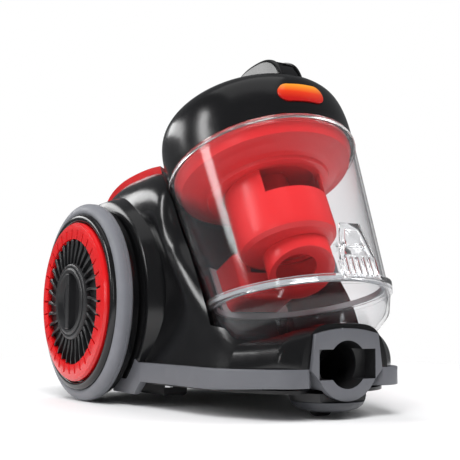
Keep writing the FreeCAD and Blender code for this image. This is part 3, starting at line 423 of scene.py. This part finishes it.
class Bench:
    """Small workshop of mesh operations shared by the sub-assemblies."""

    @staticmethod
    def clear() -> None:
        """Leave edit mode and deselect everything."""
        if bpy.context.object is not None and bpy.context.object.mode != "OBJECT":
            bpy.ops.object.mode_set(mode="OBJECT")
        bpy.ops.object.select_all(action="DESELECT")

    @classmethod
    def pick(cls, piece: bpy.types.Object) -> None:
        """Make one piece the only selected and the active one."""
        cls.clear()
        piece.select_set(True)
        bpy.context.view_layer.objects.active = piece

    @classmethod
    def tidy(cls, piece: bpy.types.Object, gap: float = 1e-6, outward: bool = False) -> None:
        """Merge doubled points and, on new meshes, turn the faces outwards.

        Args:
            piece: The piece.
            gap: Distance under which points are merged.
            outward: Recalculate the normals as well.
        """
        cls.pick(piece)
        bpy.ops.object.mode_set(mode="EDIT")
        bpy.ops.mesh.select_all(action="SELECT")
        bpy.ops.mesh.remove_doubles(threshold=gap)
        if outward:
            bpy.ops.mesh.normals_make_consistent(inside=False)
        bpy.ops.object.mode_set(mode="OBJECT")

    @classmethod
    def smooth(cls, piece: bpy.types.Object, angle: float = 32.0) -> None:
        """Shade smooth, with creases sharper than an angle in degrees."""
        cls.pick(piece)
        bpy.ops.object.shade_smooth_by_angle(angle=math.radians(angle))

    @classmethod
    def modify(cls, piece: bpy.types.Object, kind: str, **settings: object) -> None:
        """Add one modifier and apply it.

        Args:
            piece: The piece.
            kind: Type of the modifier.
            **settings: Its properties.
        """
        cls.pick(piece)
        modifier = piece.modifiers.new(kind.lower(), kind)
        for name, value in settings.items():
            setattr(modifier, name, value)
        bpy.ops.object.modifier_apply(modifier=modifier.name)

    @classmethod
    def rest(cls, piece: bpy.types.Object) -> None:
        """Put the place, turn and size of the object into its mesh."""
        cls.pick(piece)
        bpy.ops.object.transform_apply(location=True, rotation=True, scale=True)

    @staticmethod
    def choose(piece: bpy.types.Object, test: Callable[[Vector], bool]) -> None:
        """Select the points of a piece in edit mode by their place.

        Args:
            piece: The piece, in edit mode.
            test: Says of a point's place whether it is selected.
        """
        mesh = bmesh.from_edit_mesh(piece.data)
        for point in mesh.verts:
            point.select_set(bool(test(point.co)))
        mesh.select_flush(True)
        mesh.select_flush(False)
        bmesh.update_edit_mesh(piece.data)

    @classmethod
    def copies(cls, piece: bpy.types.Object, places: Iterable[Matrix], name: str) -> bpy.types.Object:
        """Copy a piece to several places, each with its own mesh, and join the copies.

        Args:
            piece: The pattern, which is used up.
            places: World matrices of the copies.
            name: Name of the joined piece.

        Returns:
            The joined piece at the origin.
        """
        made = []
        for place in places:
            twin = piece.copy()
            twin.data = piece.data.copy()
            bpy.context.scene.collection.objects.link(twin)
            twin.matrix_world = place @ piece.matrix_world
            made.append(twin)
        bpy.data.objects.remove(piece)
        cls.clear()
        for twin in made:
            twin.select_set(True)
        bpy.context.view_layer.objects.active = made[0]
        bpy.ops.object.join()
        joined = bpy.context.object
        joined.name = name
        cls.rest(joined)
        return joined

    @classmethod
    def turned(cls, name: str, profile: Sequence[tuple[float, float]], place: Matrix,
               segments: int = 128) -> bpy.types.Object:
        """Closed ring turned on the Z axis: a circle extruded along its section, ring by ring.

        Args:
            name: Name of the piece.
            profile: (height, radius) of the section's corners in order, in metres.
            place: Where the turning axis and its foot lie.
            segments: Facets round the axis.

        Returns:
            The turned piece.
        """
        cls.clear()
        height, radius = profile[0]
        bpy.ops.mesh.primitive_circle_add(vertices=segments, radius=radius, location=(0, 0, height))
        piece = bpy.context.object
        piece.name = name
        cls.rest(piece)
        bpy.ops.object.mode_set(mode="EDIT")
        bpy.ops.mesh.select_all(action="SELECT")
        for next_height, next_radius in [*profile[1:], profile[0]]:
            bpy.ops.mesh.extrude_edges_move(TRANSFORM_OT_translate={"value": (0, 0, next_height - height)})
            share = next_radius / radius
            bpy.ops.transform.resize(value=(share, share, 1.0), center_override=(0, 0, next_height))
            height, radius = next_height, next_radius
        bpy.ops.object.mode_set(mode="OBJECT")
        cls.tidy(piece, 2e-6, outward=True)
        piece.matrix_world = place
        cls.rest(piece)
        return piece

    @classmethod
    def coil(cls, name: str, radius: float, wire: float, height: float, turns: int,
             place: Matrix) -> bpy.types.Object:
        """Round-wire coil spring along the Z axis of a place.

        Args:
            name: Name of the piece.
            radius: Radius of the coil's middle line.
            wire: Radius of the wire.
            height: Free height between the wire's middle lines.
            turns: Number of turns.
            place: Where the spring's foot and axis lie.

        Returns:
            The coil.
        """
        cls.clear()
        bpy.ops.mesh.primitive_circle_add(vertices=10, radius=wire, location=(radius, 0, wire),
                                          rotation=(math.pi / 2, 0, 0))
        piece = bpy.context.object
        piece.name = name
        cls.rest(piece)
        cls.modify(piece, "SCREW", axis="Z", angle=2 * math.pi, screw_offset=height / turns,
                   iterations=turns, steps=24, render_steps=24, use_smooth_shade=True)
        bpy.ops.object.mode_set(mode="EDIT")
        bpy.ops.mesh.select_all(action="SELECT")
        bpy.ops.mesh.fill_holes(sides=0)
        bpy.ops.object.mode_set(mode="OBJECT")
        cls.tidy(piece, 1e-6, outward=True)
        piece.matrix_world = place
        cls.rest(piece)
        return piece

    @classmethod
    def shell_of(cls, node: str, name: str, frame: dict) -> bpy.types.Object:
        """Clean copy of a CAD node's mesh, merged, to be worked on further.

        Args:
            node: Name of the CAD node.
            name: Name of the copy.
            frame: The loaded frame.

        Returns:
            The copy, at the origin, with no parent.
        """
        source = frame["nodes"][node]
        piece = bpy.data.objects.new(name, source.data.copy())
        piece.data.materials.clear()
        bpy.context.scene.collection.objects.link(piece)
        piece.hide_render = False
        cls.tidy(piece, 2e-6)
        if piece.data.has_custom_normals:
            cls.pick(piece)
            bpy.ops.mesh.customdata_custom_splitnormals_clear()
        return piece

    @classmethod
    def dress(cls, piece: bpy.types.Object, body: str, finish: Finish | ClearFinish | EnamelFinish,
              nodes: Sequence[str] = ()) -> bpy.types.Object:
        """Give a finished piece its material, its body and the nodes it stands for.

        Args:
            piece: The piece.
            body: CAD body that it rides on.
            finish: Its finish.
            nodes: CAD nodes that it replaces.

        Returns:
            The piece.
        """
        piece.data.materials.clear()
        piece.data.materials.append(finish.material())
        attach(piece, body)
        if nodes:
            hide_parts(*nodes)
        LOG.info("%s rides on %s", piece.name, body)
        return piece


@dataclass
class SmoothedPart:
    """One CAD node carried over as a clean mesh with soft edges.

    Attributes:
        node: The CAD node.
        body: Body that it rides on.
        bevel: Width in millimetres of the softened edges, or 0 for none.
        angle: Crease angle in degrees.
    """

    node: str
    body: str
    bevel: float = 0.0
    angle: float = 32.0

    def build(self, frame: dict) -> bpy.types.Object:
        """Copy, soften and dress the node.

        Args:
            frame: The loaded frame.

        Returns:
            The piece that stands for the node.
        """
        piece = Bench.shell_of(self.node, self.node + "_finish", frame)
        if self.bevel:
            Bench.pick(piece)
            bpy.ops.object.mode_set(mode="EDIT")
            bpy.ops.mesh.select_all(action="SELECT")
            bpy.ops.mesh.dissolve_limited(angle_limit=math.radians(0.6))
            bpy.ops.object.mode_set(mode="OBJECT")
            Bench.modify(piece, "BEVEL", width=self.bevel * MM, segments=2, limit_method="ANGLE",
                         angle_limit=math.radians(38.0), use_clamp_overlap=True, harden_normals=False)
            Bench.modify(piece, "TRIANGULATE")
        Bench.smooth(piece, self.angle)
        return Bench.dress(piece, self.body, NODE_FINISHES[self.node], [self.node])


@dataclass
class Bin:
    """What the clear dust bin gets besides its CAD shells: teeth in its slanted ring and a mouth bead.

    Attributes:
        tilt: Lean of the bin's axis in degrees.
        ring_tilt: Lean of the ring's normal in degrees.
        foot: Centre of the ring's plane, in metres.
        ring_shift: How far the ring's centre lies behind the axis.
        tooth_radius: Radius on which the teeth stand.
        teeth: Number of teeth.
        stretch: How much longer the slanted ring is than it is wide.
        front: Cosine of the turn from the rear beyond which there are no teeth.
    """

    tilt: float = 26.1
    ring_tilt: float = 12.7
    foot: Vector = field(default_factory=lambda: Vector((0.0, -98.8, 97.0)) * MM)
    ring_shift: float = 1.6 * MM
    tooth_radius: float = 74.1 * MM
    teeth: int = 90
    stretch: float = 1.027
    front: float = -0.3

    def axis_place(self) -> Matrix:
        """World place of the bin's own axes."""
        return Matrix.Translation(self.foot) @ Matrix.Rotation(math.radians(-self.tilt), 4, "X")

    def ring_place(self) -> Matrix:
        """World place of the ring's own axes."""
        return (Matrix.Translation(self.foot) @ Matrix.Rotation(math.radians(-self.ring_tilt), 4, "X")
                @ Matrix.Translation((0, self.ring_shift, 0)))

    def ring_teeth(self) -> bpy.types.Object:
        """Row of fine moulded teeth inside the ring, all but its front.

        Returns:
            The joined teeth.
        """
        Bench.clear()
        bpy.ops.mesh.primitive_cube_add(size=1.0)
        tooth = bpy.context.object
        tooth.scale = (1.7 * MM, 1.3 * MM, 2.8 * MM)
        tooth.location = (0, self.tooth_radius, 0.8 * MM)
        Bench.rest(tooth)
        bpy.ops.object.mode_set(mode="EDIT")
        Bench.choose(tooth, lambda place: place.y < self.tooth_radius)
        bpy.ops.transform.resize(value=(0.45, 1.0, 0.8), center_override=(0, self.tooth_radius, 0.8 * MM))
        bpy.ops.object.mode_set(mode="OBJECT")
        Bench.modify(tooth, "BEVEL", width=0.2 * MM, segments=1)
        oval = self.ring_place() @ Matrix.Diagonal((1.0, self.stretch, 1.0, 1.0))
        turns = [2 * math.pi * index / self.teeth for index in range(self.teeth)]
        places = [oval @ Matrix.Rotation(turn, 4, "Z") for turn in turns if math.cos(turn) > self.front]
        return Bench.copies(tooth, places, "ring_teeth")

    def top_bead(self) -> bpy.types.Object:
        """Rounded clear bead round the mouth of the bin, just under the lid."""
        bead = [(131.2, 88.55), (131.5, 89.1), (132.2, 89.5), (133.2, 89.5), (133.9, 89.1), (134.2, 88.7),
                (133.9, 88.65)]
        return Bench.turned("mouth_bead", [(z * MM, r * MM) for z, r in bead], self.axis_place(), 128)

    def build(self) -> None:
        """Make the bin's added pieces."""
        Bench.dress(self.ring_teeth(), "bin", FROSTED)
        bead = self.top_bead()
        Bench.smooth(bead, 50.0)
        Bench.dress(bead, "bin", CLEAR_SOLID)


@dataclass
class Wheel:
    """One rear wheel: tread, gloss rim and the fanned grille of its cover.

    Attributes:
        side: 1 for the +X side, -1 for the other.
        fins: Number of fins in the grille.
        fin_reach: Distance of a fin's middle from the axle.
        fin_length: Length of a fin.
        fin_curve: How much farther each fifth of a fin leans sideways than the one before.
    """

    side: int
    fins: int = 32
    fin_reach: float = 47.6 * MM
    fin_length: float = 24.0 * MM
    fin_curve: float = 0.34 * MM

    @property
    def prefix(self) -> str:
        """Name of the side."""
        return "right" if self.side > 0 else "left"

    def place(self) -> Matrix:
        """Axle place: local +Z points out of the cleaner."""
        low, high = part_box(f"{self.prefix}_tyre")
        centre = (low + high) / 2
        turn = Matrix.Rotation(self.side * math.pi / 2, 4, "Y")
        return Matrix.Translation((0, centre.y, centre.z)) @ turn

    def tread(self) -> bpy.types.Object:
        """Soft tread ring with round shoulders and one fine groove."""
        crown = [(113.5, 85.0), (113.5, 91.6), (113.9, 93.2), (114.9, 94.4), (116.4, 95.0), (118.2, 95.0),
                 (118.5, 94.5), (118.8, 95.0), (121.2, 95.0), (122.6, 94.6), (124.0, 93.8), (125.2, 92.5),
                 (126.1, 90.8), (126.7, 88.9), (126.9, 87.2), (126.6, 86.0), (126.0, 85.0)]
        return Bench.turned(f"{self.prefix}_tread", [(x * MM, r * MM) for x, r in crown], self.place(), 160)

    def rim(self) -> bpy.types.Object:
        """Gloss rim: a stepped lip outside the tread's seat and a drum inside."""
        section = [(105.5, 72.05), (105.5, 88.0), (106.1, 89.9), (107.6, 90.5), (113.4, 90.5), (113.4, 85.0),
                   (126.0, 85.0), (127.4, 84.6), (129.0, 83.7), (129.9, 82.4), (130.4, 80.6), (130.4, 79.2),
                   (129.9, 78.1), (128.9, 77.4), (127.4, 77.1), (126.0, 77.0), (126.0, 72.05)]
        return Bench.turned(f"{self.prefix}_rim", [(x * MM, r * MM) for x, r in section], self.place(), 160)

    def fin(self) -> bpy.types.Object:
        """One curved fin of the grille, standing along local Y."""
        Bench.clear()
        bpy.ops.mesh.primitive_cube_add(size=1.0)
        piece = bpy.context.object
        piece.scale = (2.6 * MM, self.fin_length, 4.6 * MM)
        piece.location = (0, self.fin_reach, 131.9 * MM)
        Bench.rest(piece)
        bpy.ops.object.mode_set(mode="EDIT")
        bpy.ops.mesh.select_all(action="SELECT")
        bpy.ops.mesh.subdivide(number_cuts=5)
        for step in range(5):
            level = (37.0 + 4.0 * step) * MM
            Bench.choose(piece, lambda place, level=level: place.y > level)
            bpy.ops.transform.translate(value=(self.fin_curve * (step + 1), 0, 0))
        Bench.choose(piece, lambda place: place.z > 133.5 * MM)
        bpy.ops.transform.resize(value=(0.55, 1.0, 1.0),
                                 center_override=(1.6 * MM, self.fin_reach, 134.2 * MM))
        bpy.ops.object.mode_set(mode="OBJECT")
        Bench.modify(piece, "BEVEL", width=0.3 * MM, segments=2, limit_method="ANGLE",
                     angle_limit=math.radians(40.0))
        return piece

    def grille(self) -> bpy.types.Object:
        """Fan of curved fins on a dished back with a raised hub."""
        dish = [(128.4, 32.2), (128.4, 60.0), (130.2, 60.0), (130.0, 50.0), (129.7, 40.0), (130.2, 37.4),
                (133.6, 36.9), (135.2, 36.2), (136.0, 35.0), (136.2, 33.6), (135.9, 32.2)]
        back = Bench.turned("grille_back", [(x * MM, r * MM) for x, r in dish], self.place())
        turns = [self.place() @ Matrix.Rotation(2 * math.pi * (index + 0.5) / self.fins, 4, "Z")
                 for index in range(self.fins)]
        fan = Bench.copies(self.fin(), turns, f"{self.prefix}_fan_grille")
        Bench.clear()
        back.select_set(True)
        fan.select_set(True)
        bpy.context.view_layer.objects.active = fan
        bpy.ops.object.join()
        return fan

    def build(self) -> None:
        """Make the wheel's pieces and put them on their bodies."""
        wheel, cover = f"{self.prefix}_wheel", f"{self.prefix}_cover"
        for piece, body, finish, node in (
                (self.tread(), wheel, TYRE_RUBBER, "tyre"), (self.rim(), wheel, BLACK_GLOSS, "wheel_rim"),
                (self.grille(), cover, BLACK_SATIN, "cover_grille")):
            Bench.smooth(piece, 35.0)
            Bench.dress(piece, body, finish, [f"{self.prefix}_{node}"])


@dataclass
class HoseSocket:
    """Grey collar round the hose socket, dark inside.

    Attributes:
        lip: Depth behind the front face that stays grey.
        reach: Distance from the socket's middle within which faces belong to the inside.
        height: Height of the socket's middle over the floor.
    """

    lip: float = 1.2 * MM
    reach: float = 36.0 * MM
    height: float = 36.5 * MM

    def build(self, frame: dict) -> None:
        """Soften the collar and darken the bore and its side slots.

        Args:
            frame: The loaded frame.
        """
        low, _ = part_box("hose_collar")
        piece = SmoothedPart("hose_collar", "chassis", 0.6).build(frame)
        piece.data.materials.append(BLACK_SATIN.material())
        for face in piece.data.polygons:
            across, up = face.center.x, face.center.z - self.height
            near = math.hypot(across, up) < self.reach
            inward = across * face.normal.x + up * face.normal.z < 1e-4
            if near and inward and face.center.y > low.y + self.lip:
                face.material_index = 1


@dataclass
class Springs:
    """Coil springs under the pedals and the release button.

    Attributes:
        wire: Radius of the wire.
        button_seat: Distance in front of the bin's axis, and height along it, of the button's spring.
        button_radius: Radius of that spring's middle line.
        button_height: Its free height.
        pressed: Share of its height that is left when the button is down; not used.
    """

    wire: float = 0.45 * MM
    button_seat: tuple[float, float] = (-70.0 * MM, 170.5 * MM)
    button_radius: float = 4.0 * MM
    button_height: float = 8.4 * MM
    pressed: float = 0.5

    def build(self) -> None:
        """Wind the springs inside the CAD springs' outlines."""
        low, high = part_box("pedal_springs")
        middle = (low.y + high.y) / 2
        radius = (high.y - low.y) / 2 - self.wire
        height = high.z - low.z - 2 * self.wire
        coils = []
        for x in (low.x + radius + self.wire, high.x - radius - self.wire):
            place = Matrix.Translation((x, middle, low.z))
            coils.append(Bench.coil("pedal_coil", radius, self.wire, height, 6, place))
        Bench.clear()
        for coil in coils:
            coil.select_set(True)
        bpy.context.view_layer.objects.active = coils[0]
        bpy.ops.object.join()
        Bench.dress(bpy.context.object, "chassis", STEEL, ["pedal_springs"])
        seat = Bin().axis_place() @ Matrix.Translation((0, *self.button_seat))
        coil = Bench.coil("button_coil", self.button_radius, self.wire, self.button_height, 4, seat)
        Bench.dress(coil, "lid", STEEL, ["button_spring"])
        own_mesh(coil)


SMOOTHED: list[SmoothedPart] = [
    SmoothedPart("main_housing", "chassis", angle=28.0),
    SmoothedPart("top_cover", "chassis", angle=28.0),
    SmoothedPart("nose_cover", "chassis", angle=28.0),
    SmoothedPart("bumper_band", "chassis", 0.5),
    SmoothedPart("base_pan", "chassis"),
    SmoothedPart("lid_shell", "lid", angle=28.0),
    SmoothedPart("carry_handle", "lid", angle=28.0),
    SmoothedPart("grip_insert", "lid"),
    SmoothedPart("release_button", "button", 0.4),
    SmoothedPart("bin_wall", "bin"),
    SmoothedPart("bottom_ring", "bin"),
    SmoothedPart("rim_seal", "bin"),
    SmoothedPart("flap_gasket", "bin"),
    SmoothedPart("inlet_seal", "bin"),
    SmoothedPart("bottom_flap", "flap"),
    SmoothedPart("flap_clip", "clip", 0.3),
    SmoothedPart("separator_flange", "bin"),
    SmoothedPart("cyclone_body", "bin"),
    SmoothedPart("cyclone_nozzle", "bin", 0.6),
    SmoothedPart("inner_column", "bin"),
    SmoothedPart("inlet_scoop", "bin"),
    SmoothedPart("power_pedal", "power_lever", 0.5),
    SmoothedPart("rewind_pedal", "rewind_lever", 0.5),
    SmoothedPart("castor_dome", "castor"),
    SmoothedPart("castor_wheel", "castor_roller", 0.4),
    SmoothedPart("left_cover_disc", "left_cover", 0.25),
    SmoothedPart("right_cover_disc", "right_cover", 0.25),
    SmoothedPart("left_cover_knob", "left_cover", 0.4),
    SmoothedPart("right_cover_knob", "right_cover", 0.4),
]


@dataclass
class Badge:
    """Plain enamel lozenge on the lid's front."""

    rim: float = 0.5 * MM

    def build(self, frame: dict) -> None:
        """Carry over the lozenge with its enamel.

        Args:
            frame: The loaded frame.
        """
        low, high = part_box("badge_plate")
        piece = Bench.shell_of("badge_plate", "badge_enamel", frame)
        Bench.modify(piece, "BEVEL", width=self.rim, segments=2, limit_method="ANGLE",
                     angle_limit=math.radians(50.0))
        Bench.smooth(piece, 40.0)
        Bench.dress(piece, "lid", EnamelFinish("orange_enamel", "badge", low.z, high.z), ["badge_plate"])


@dataclass(frozen=True)
class Panel:
    """One soft rectangular light.

    Attributes:
        name: Name of the light.
        place: Where it hangs.
        target: Point that it faces.
        size: Width and height.
        power: Watts.
        mirrored: Whether glossy surfaces show it.
    """

    name: str
    place: Place
    target: Place
    size: tuple[float, float]
    power: float
    mirrored: bool = True

    def hang(self) -> None:
        """Hang the light in the scene."""
        light = bpy.data.lights.new(self.name, "AREA")
        light.shape = "RECTANGLE"
        light.size, light.size_y = self.size
        light.energy = self.power
        lamp = bpy.data.objects.new(self.name, light)
        bpy.context.scene.collection.objects.link(lamp)
        lamp.location = self.place
        lamp.visible_glossy = self.mirrored
        aim = Vector(self.target) - Vector(self.place)
        lamp.rotation_euler = aim.to_track_quat("-Z", "Y").to_euler()


PANELS: list[Panel] = [
    Panel("key_panel", (-0.75, -1.05, 1.7), (0, 0, 0.1), (1.0, 1.0), 34.0, mirrored=False),
    Panel("right_panel", (1.3, -0.7, 1.2), (0, -0.05, 0.15), (0.8, 0.8), 16.0, mirrored=False),
    Panel("rear_panel", (0.2, 1.3, 1.5), (0, 0, 0.15), (1.2, 0.6), 16.0, mirrored=False),
    Panel("left_strip", (-1.35, 0.35, 0.75), (0, 0.05, 0.15), (0.25, 0.8), 7.0),
    Panel("left_card", (-1.2, -0.75, 0.35), (0, 0.05, 0.15), (0.10, 0.5), 1.2),
    Panel("rear_card", (-0.7, 1.2, 0.7), (0, 0.05, 0.12), (0.9, 0.25), 4.0),
    Panel("top_card", (-0.2, 0.1, 2.0), (0, 0, 0.15), (1.6, 1.6), 4.5),
]


@dataclass
class Studio:
    """Pale floor, soft lights and the camera.

    Attributes:
        eye: Place of the camera.
        forward: Direction of view.
        right: The picture's right.
        up: The picture's up.
        lens: Focal length in millimetres on a 36 mm sensor.
        floor_near: Distance up to which the floor is solid.
        floor_far: Distance beyond which nothing of it is left.
    """

    eye: Vector = field(default_factory=lambda: Vector((-0.493546, -0.769633, 0.087478)))
    forward: Vector = field(default_factory=lambda: Vector((0.52974596, 0.84396249, 0.08424093)))
    right: Vector = field(default_factory=lambda: Vector((0.8466458, -0.53211288, 0.00683894)))
    up: Vector = field(default_factory=lambda: Vector((-0.05059749, -0.06769933, 0.99642195)))
    lens: float = 74.35
    floor_near: float = 0.45
    floor_far: float = 0.95

    def floor(self) -> None:
        """Lay a flat pale floor."""
        Bench.clear()
        bpy.ops.mesh.primitive_plane_add(size=12.0, location=(0, 0, -0.0002))
        sheet = bpy.context.object
        sheet.name = "studio_floor"
        Bench.rest(sheet)
        paint = bpy.data.materials.new("pale_floor")
        paint.use_nodes = True
        shader = paint.node_tree.nodes["Principled BSDF"]
        shader.inputs["Base Color"].default_value = (0.86, 0.86, 0.865, 1.0)
        shader.inputs["Roughness"].default_value = 0.75
        self.fade(paint, shader)
        sheet.data.materials.append(paint)

    def fade(self, paint: bpy.types.Material, shader: bpy.types.Node) -> None:
        """Let the floor run out into the white behind it, well clear of the cleaner.

        Args:
            paint: The floor's material.
            shader: Its Principled node.
        """
        tree = paint.node_tree
        place = tree.nodes.new("ShaderNodeTexCoord")
        reach = tree.nodes.new("ShaderNodeVectorMath")
        reach.operation = "LENGTH"
        tree.links.new(place.outputs["Object"], reach.inputs[0])
        share = tree.nodes.new("ShaderNodeMapRange")
        share.interpolation_type = "SMOOTHSTEP"
        share.inputs["From Min"].default_value = self.floor_near
        share.inputs["From Max"].default_value = self.floor_far
        tree.links.new(reach.outputs["Value"], share.inputs["Value"])
        nothing = tree.nodes.new("ShaderNodeBsdfTransparent")
        mix = tree.nodes.new("ShaderNodeMixShader")
        tree.links.new(share.outputs["Result"], mix.inputs["Fac"])
        tree.links.new(shader.outputs["BSDF"], mix.inputs[1])
        tree.links.new(nothing.outputs["BSDF"], mix.inputs[2])
        tree.links.new(mix.outputs["Shader"], tree.nodes["Material Output"].inputs["Surface"])

    def surroundings(self) -> None:
        """White behind the cleaner and through its clear edges, a dimmer grey for reflections and fill."""
        world = bpy.data.worlds.new("studio_world")
        bpy.context.scene.world = world
        world.use_nodes = True
        tree = world.node_tree
        seen = tree.nodes["Background"]
        seen.inputs["Color"].default_value = (1.0, 1.0, 1.0, 1.0)
        seen.inputs["Strength"].default_value = 1.0
        fill = tree.nodes.new("ShaderNodeBackground")
        fill.inputs["Color"].default_value = (0.95, 0.97, 1.0, 1.0)
        fill.inputs["Strength"].default_value = 0.16
        path = tree.nodes.new("ShaderNodeLightPath")
        mix = tree.nodes.new("ShaderNodeMixShader")
        bright = tree.nodes.new("ShaderNodeMath")
        bright.operation = "MAXIMUM"
        tree.links.new(path.outputs["Is Camera Ray"], bright.inputs[0])
        tree.links.new(path.outputs["Is Transmission Ray"], bright.inputs[1])
        tree.links.new(bright.outputs["Value"], mix.inputs["Fac"])
        tree.links.new(fill.outputs["Background"], mix.inputs[1])
        tree.links.new(seen.outputs["Background"], mix.inputs[2])
        tree.links.new(mix.outputs["Shader"], tree.nodes["World Output"].inputs["Surface"])

    def camera(self) -> None:
        """Set up the camera."""
        data = bpy.data.cameras.new("view")
        data.lens = self.lens
        data.sensor_width = 36.0
        data.clip_start = 0.01
        shooter = bpy.data.objects.new("view", data)
        bpy.context.scene.collection.objects.link(shooter)
        turn = Matrix((self.right, self.up, -self.forward)).transposed().to_4x4()
        shooter.matrix_world = Matrix.Translation(self.eye) @ turn
        bpy.context.scene.camera = shooter

    def build(self) -> None:
        """Set up the whole studio."""
        self.floor()
        self.surroundings()
        for panel in PANELS:
            panel.hang()
        self.camera()
        bpy.context.scene.view_settings.view_transform = "Standard"


def finish_nodes(frame: dict, replaced: set[str]) -> None:
    """Give every CAD node that stays its own material.

    Args:
        frame: The loaded frame.
        replaced: Nodes that a new piece stands for.
    """
    for name, node in frame["nodes"].items():
        if name in replaced or name not in NODE_FINISHES:
            continue
        material = NODE_FINISHES[name].material()
        if not node.data.materials:
            node.data.materials.append(material)
        for holder in node.material_slots:
            holder.material = material
        LOG.info("%s keeps its mesh, in %s", name, material.name)


def main() -> None:
    """Build everything in order."""
    logging.basicConfig(level=logging.INFO, format="%(message)s")
    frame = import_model()
    Studio().build()
    for part in SMOOTHED:
        part.build(frame)
    for side in (1, -1):
        Wheel(side).build()
    Bin().build()
    HoseSocket().build(frame)
    Springs().build()
    Badge().build(frame)
    replaced = {part.node for part in SMOOTHED}
    replaced |= {"hose_collar", "pedal_springs", "button_spring", "badge_plate"}
    replaced |= {f"{side}_{node}" for side in ("left", "right")
                 for node in ("tyre", "wheel_rim", "cover_grille")}
    finish_nodes(frame, replaced)


if __name__ == "__main__":
    main()
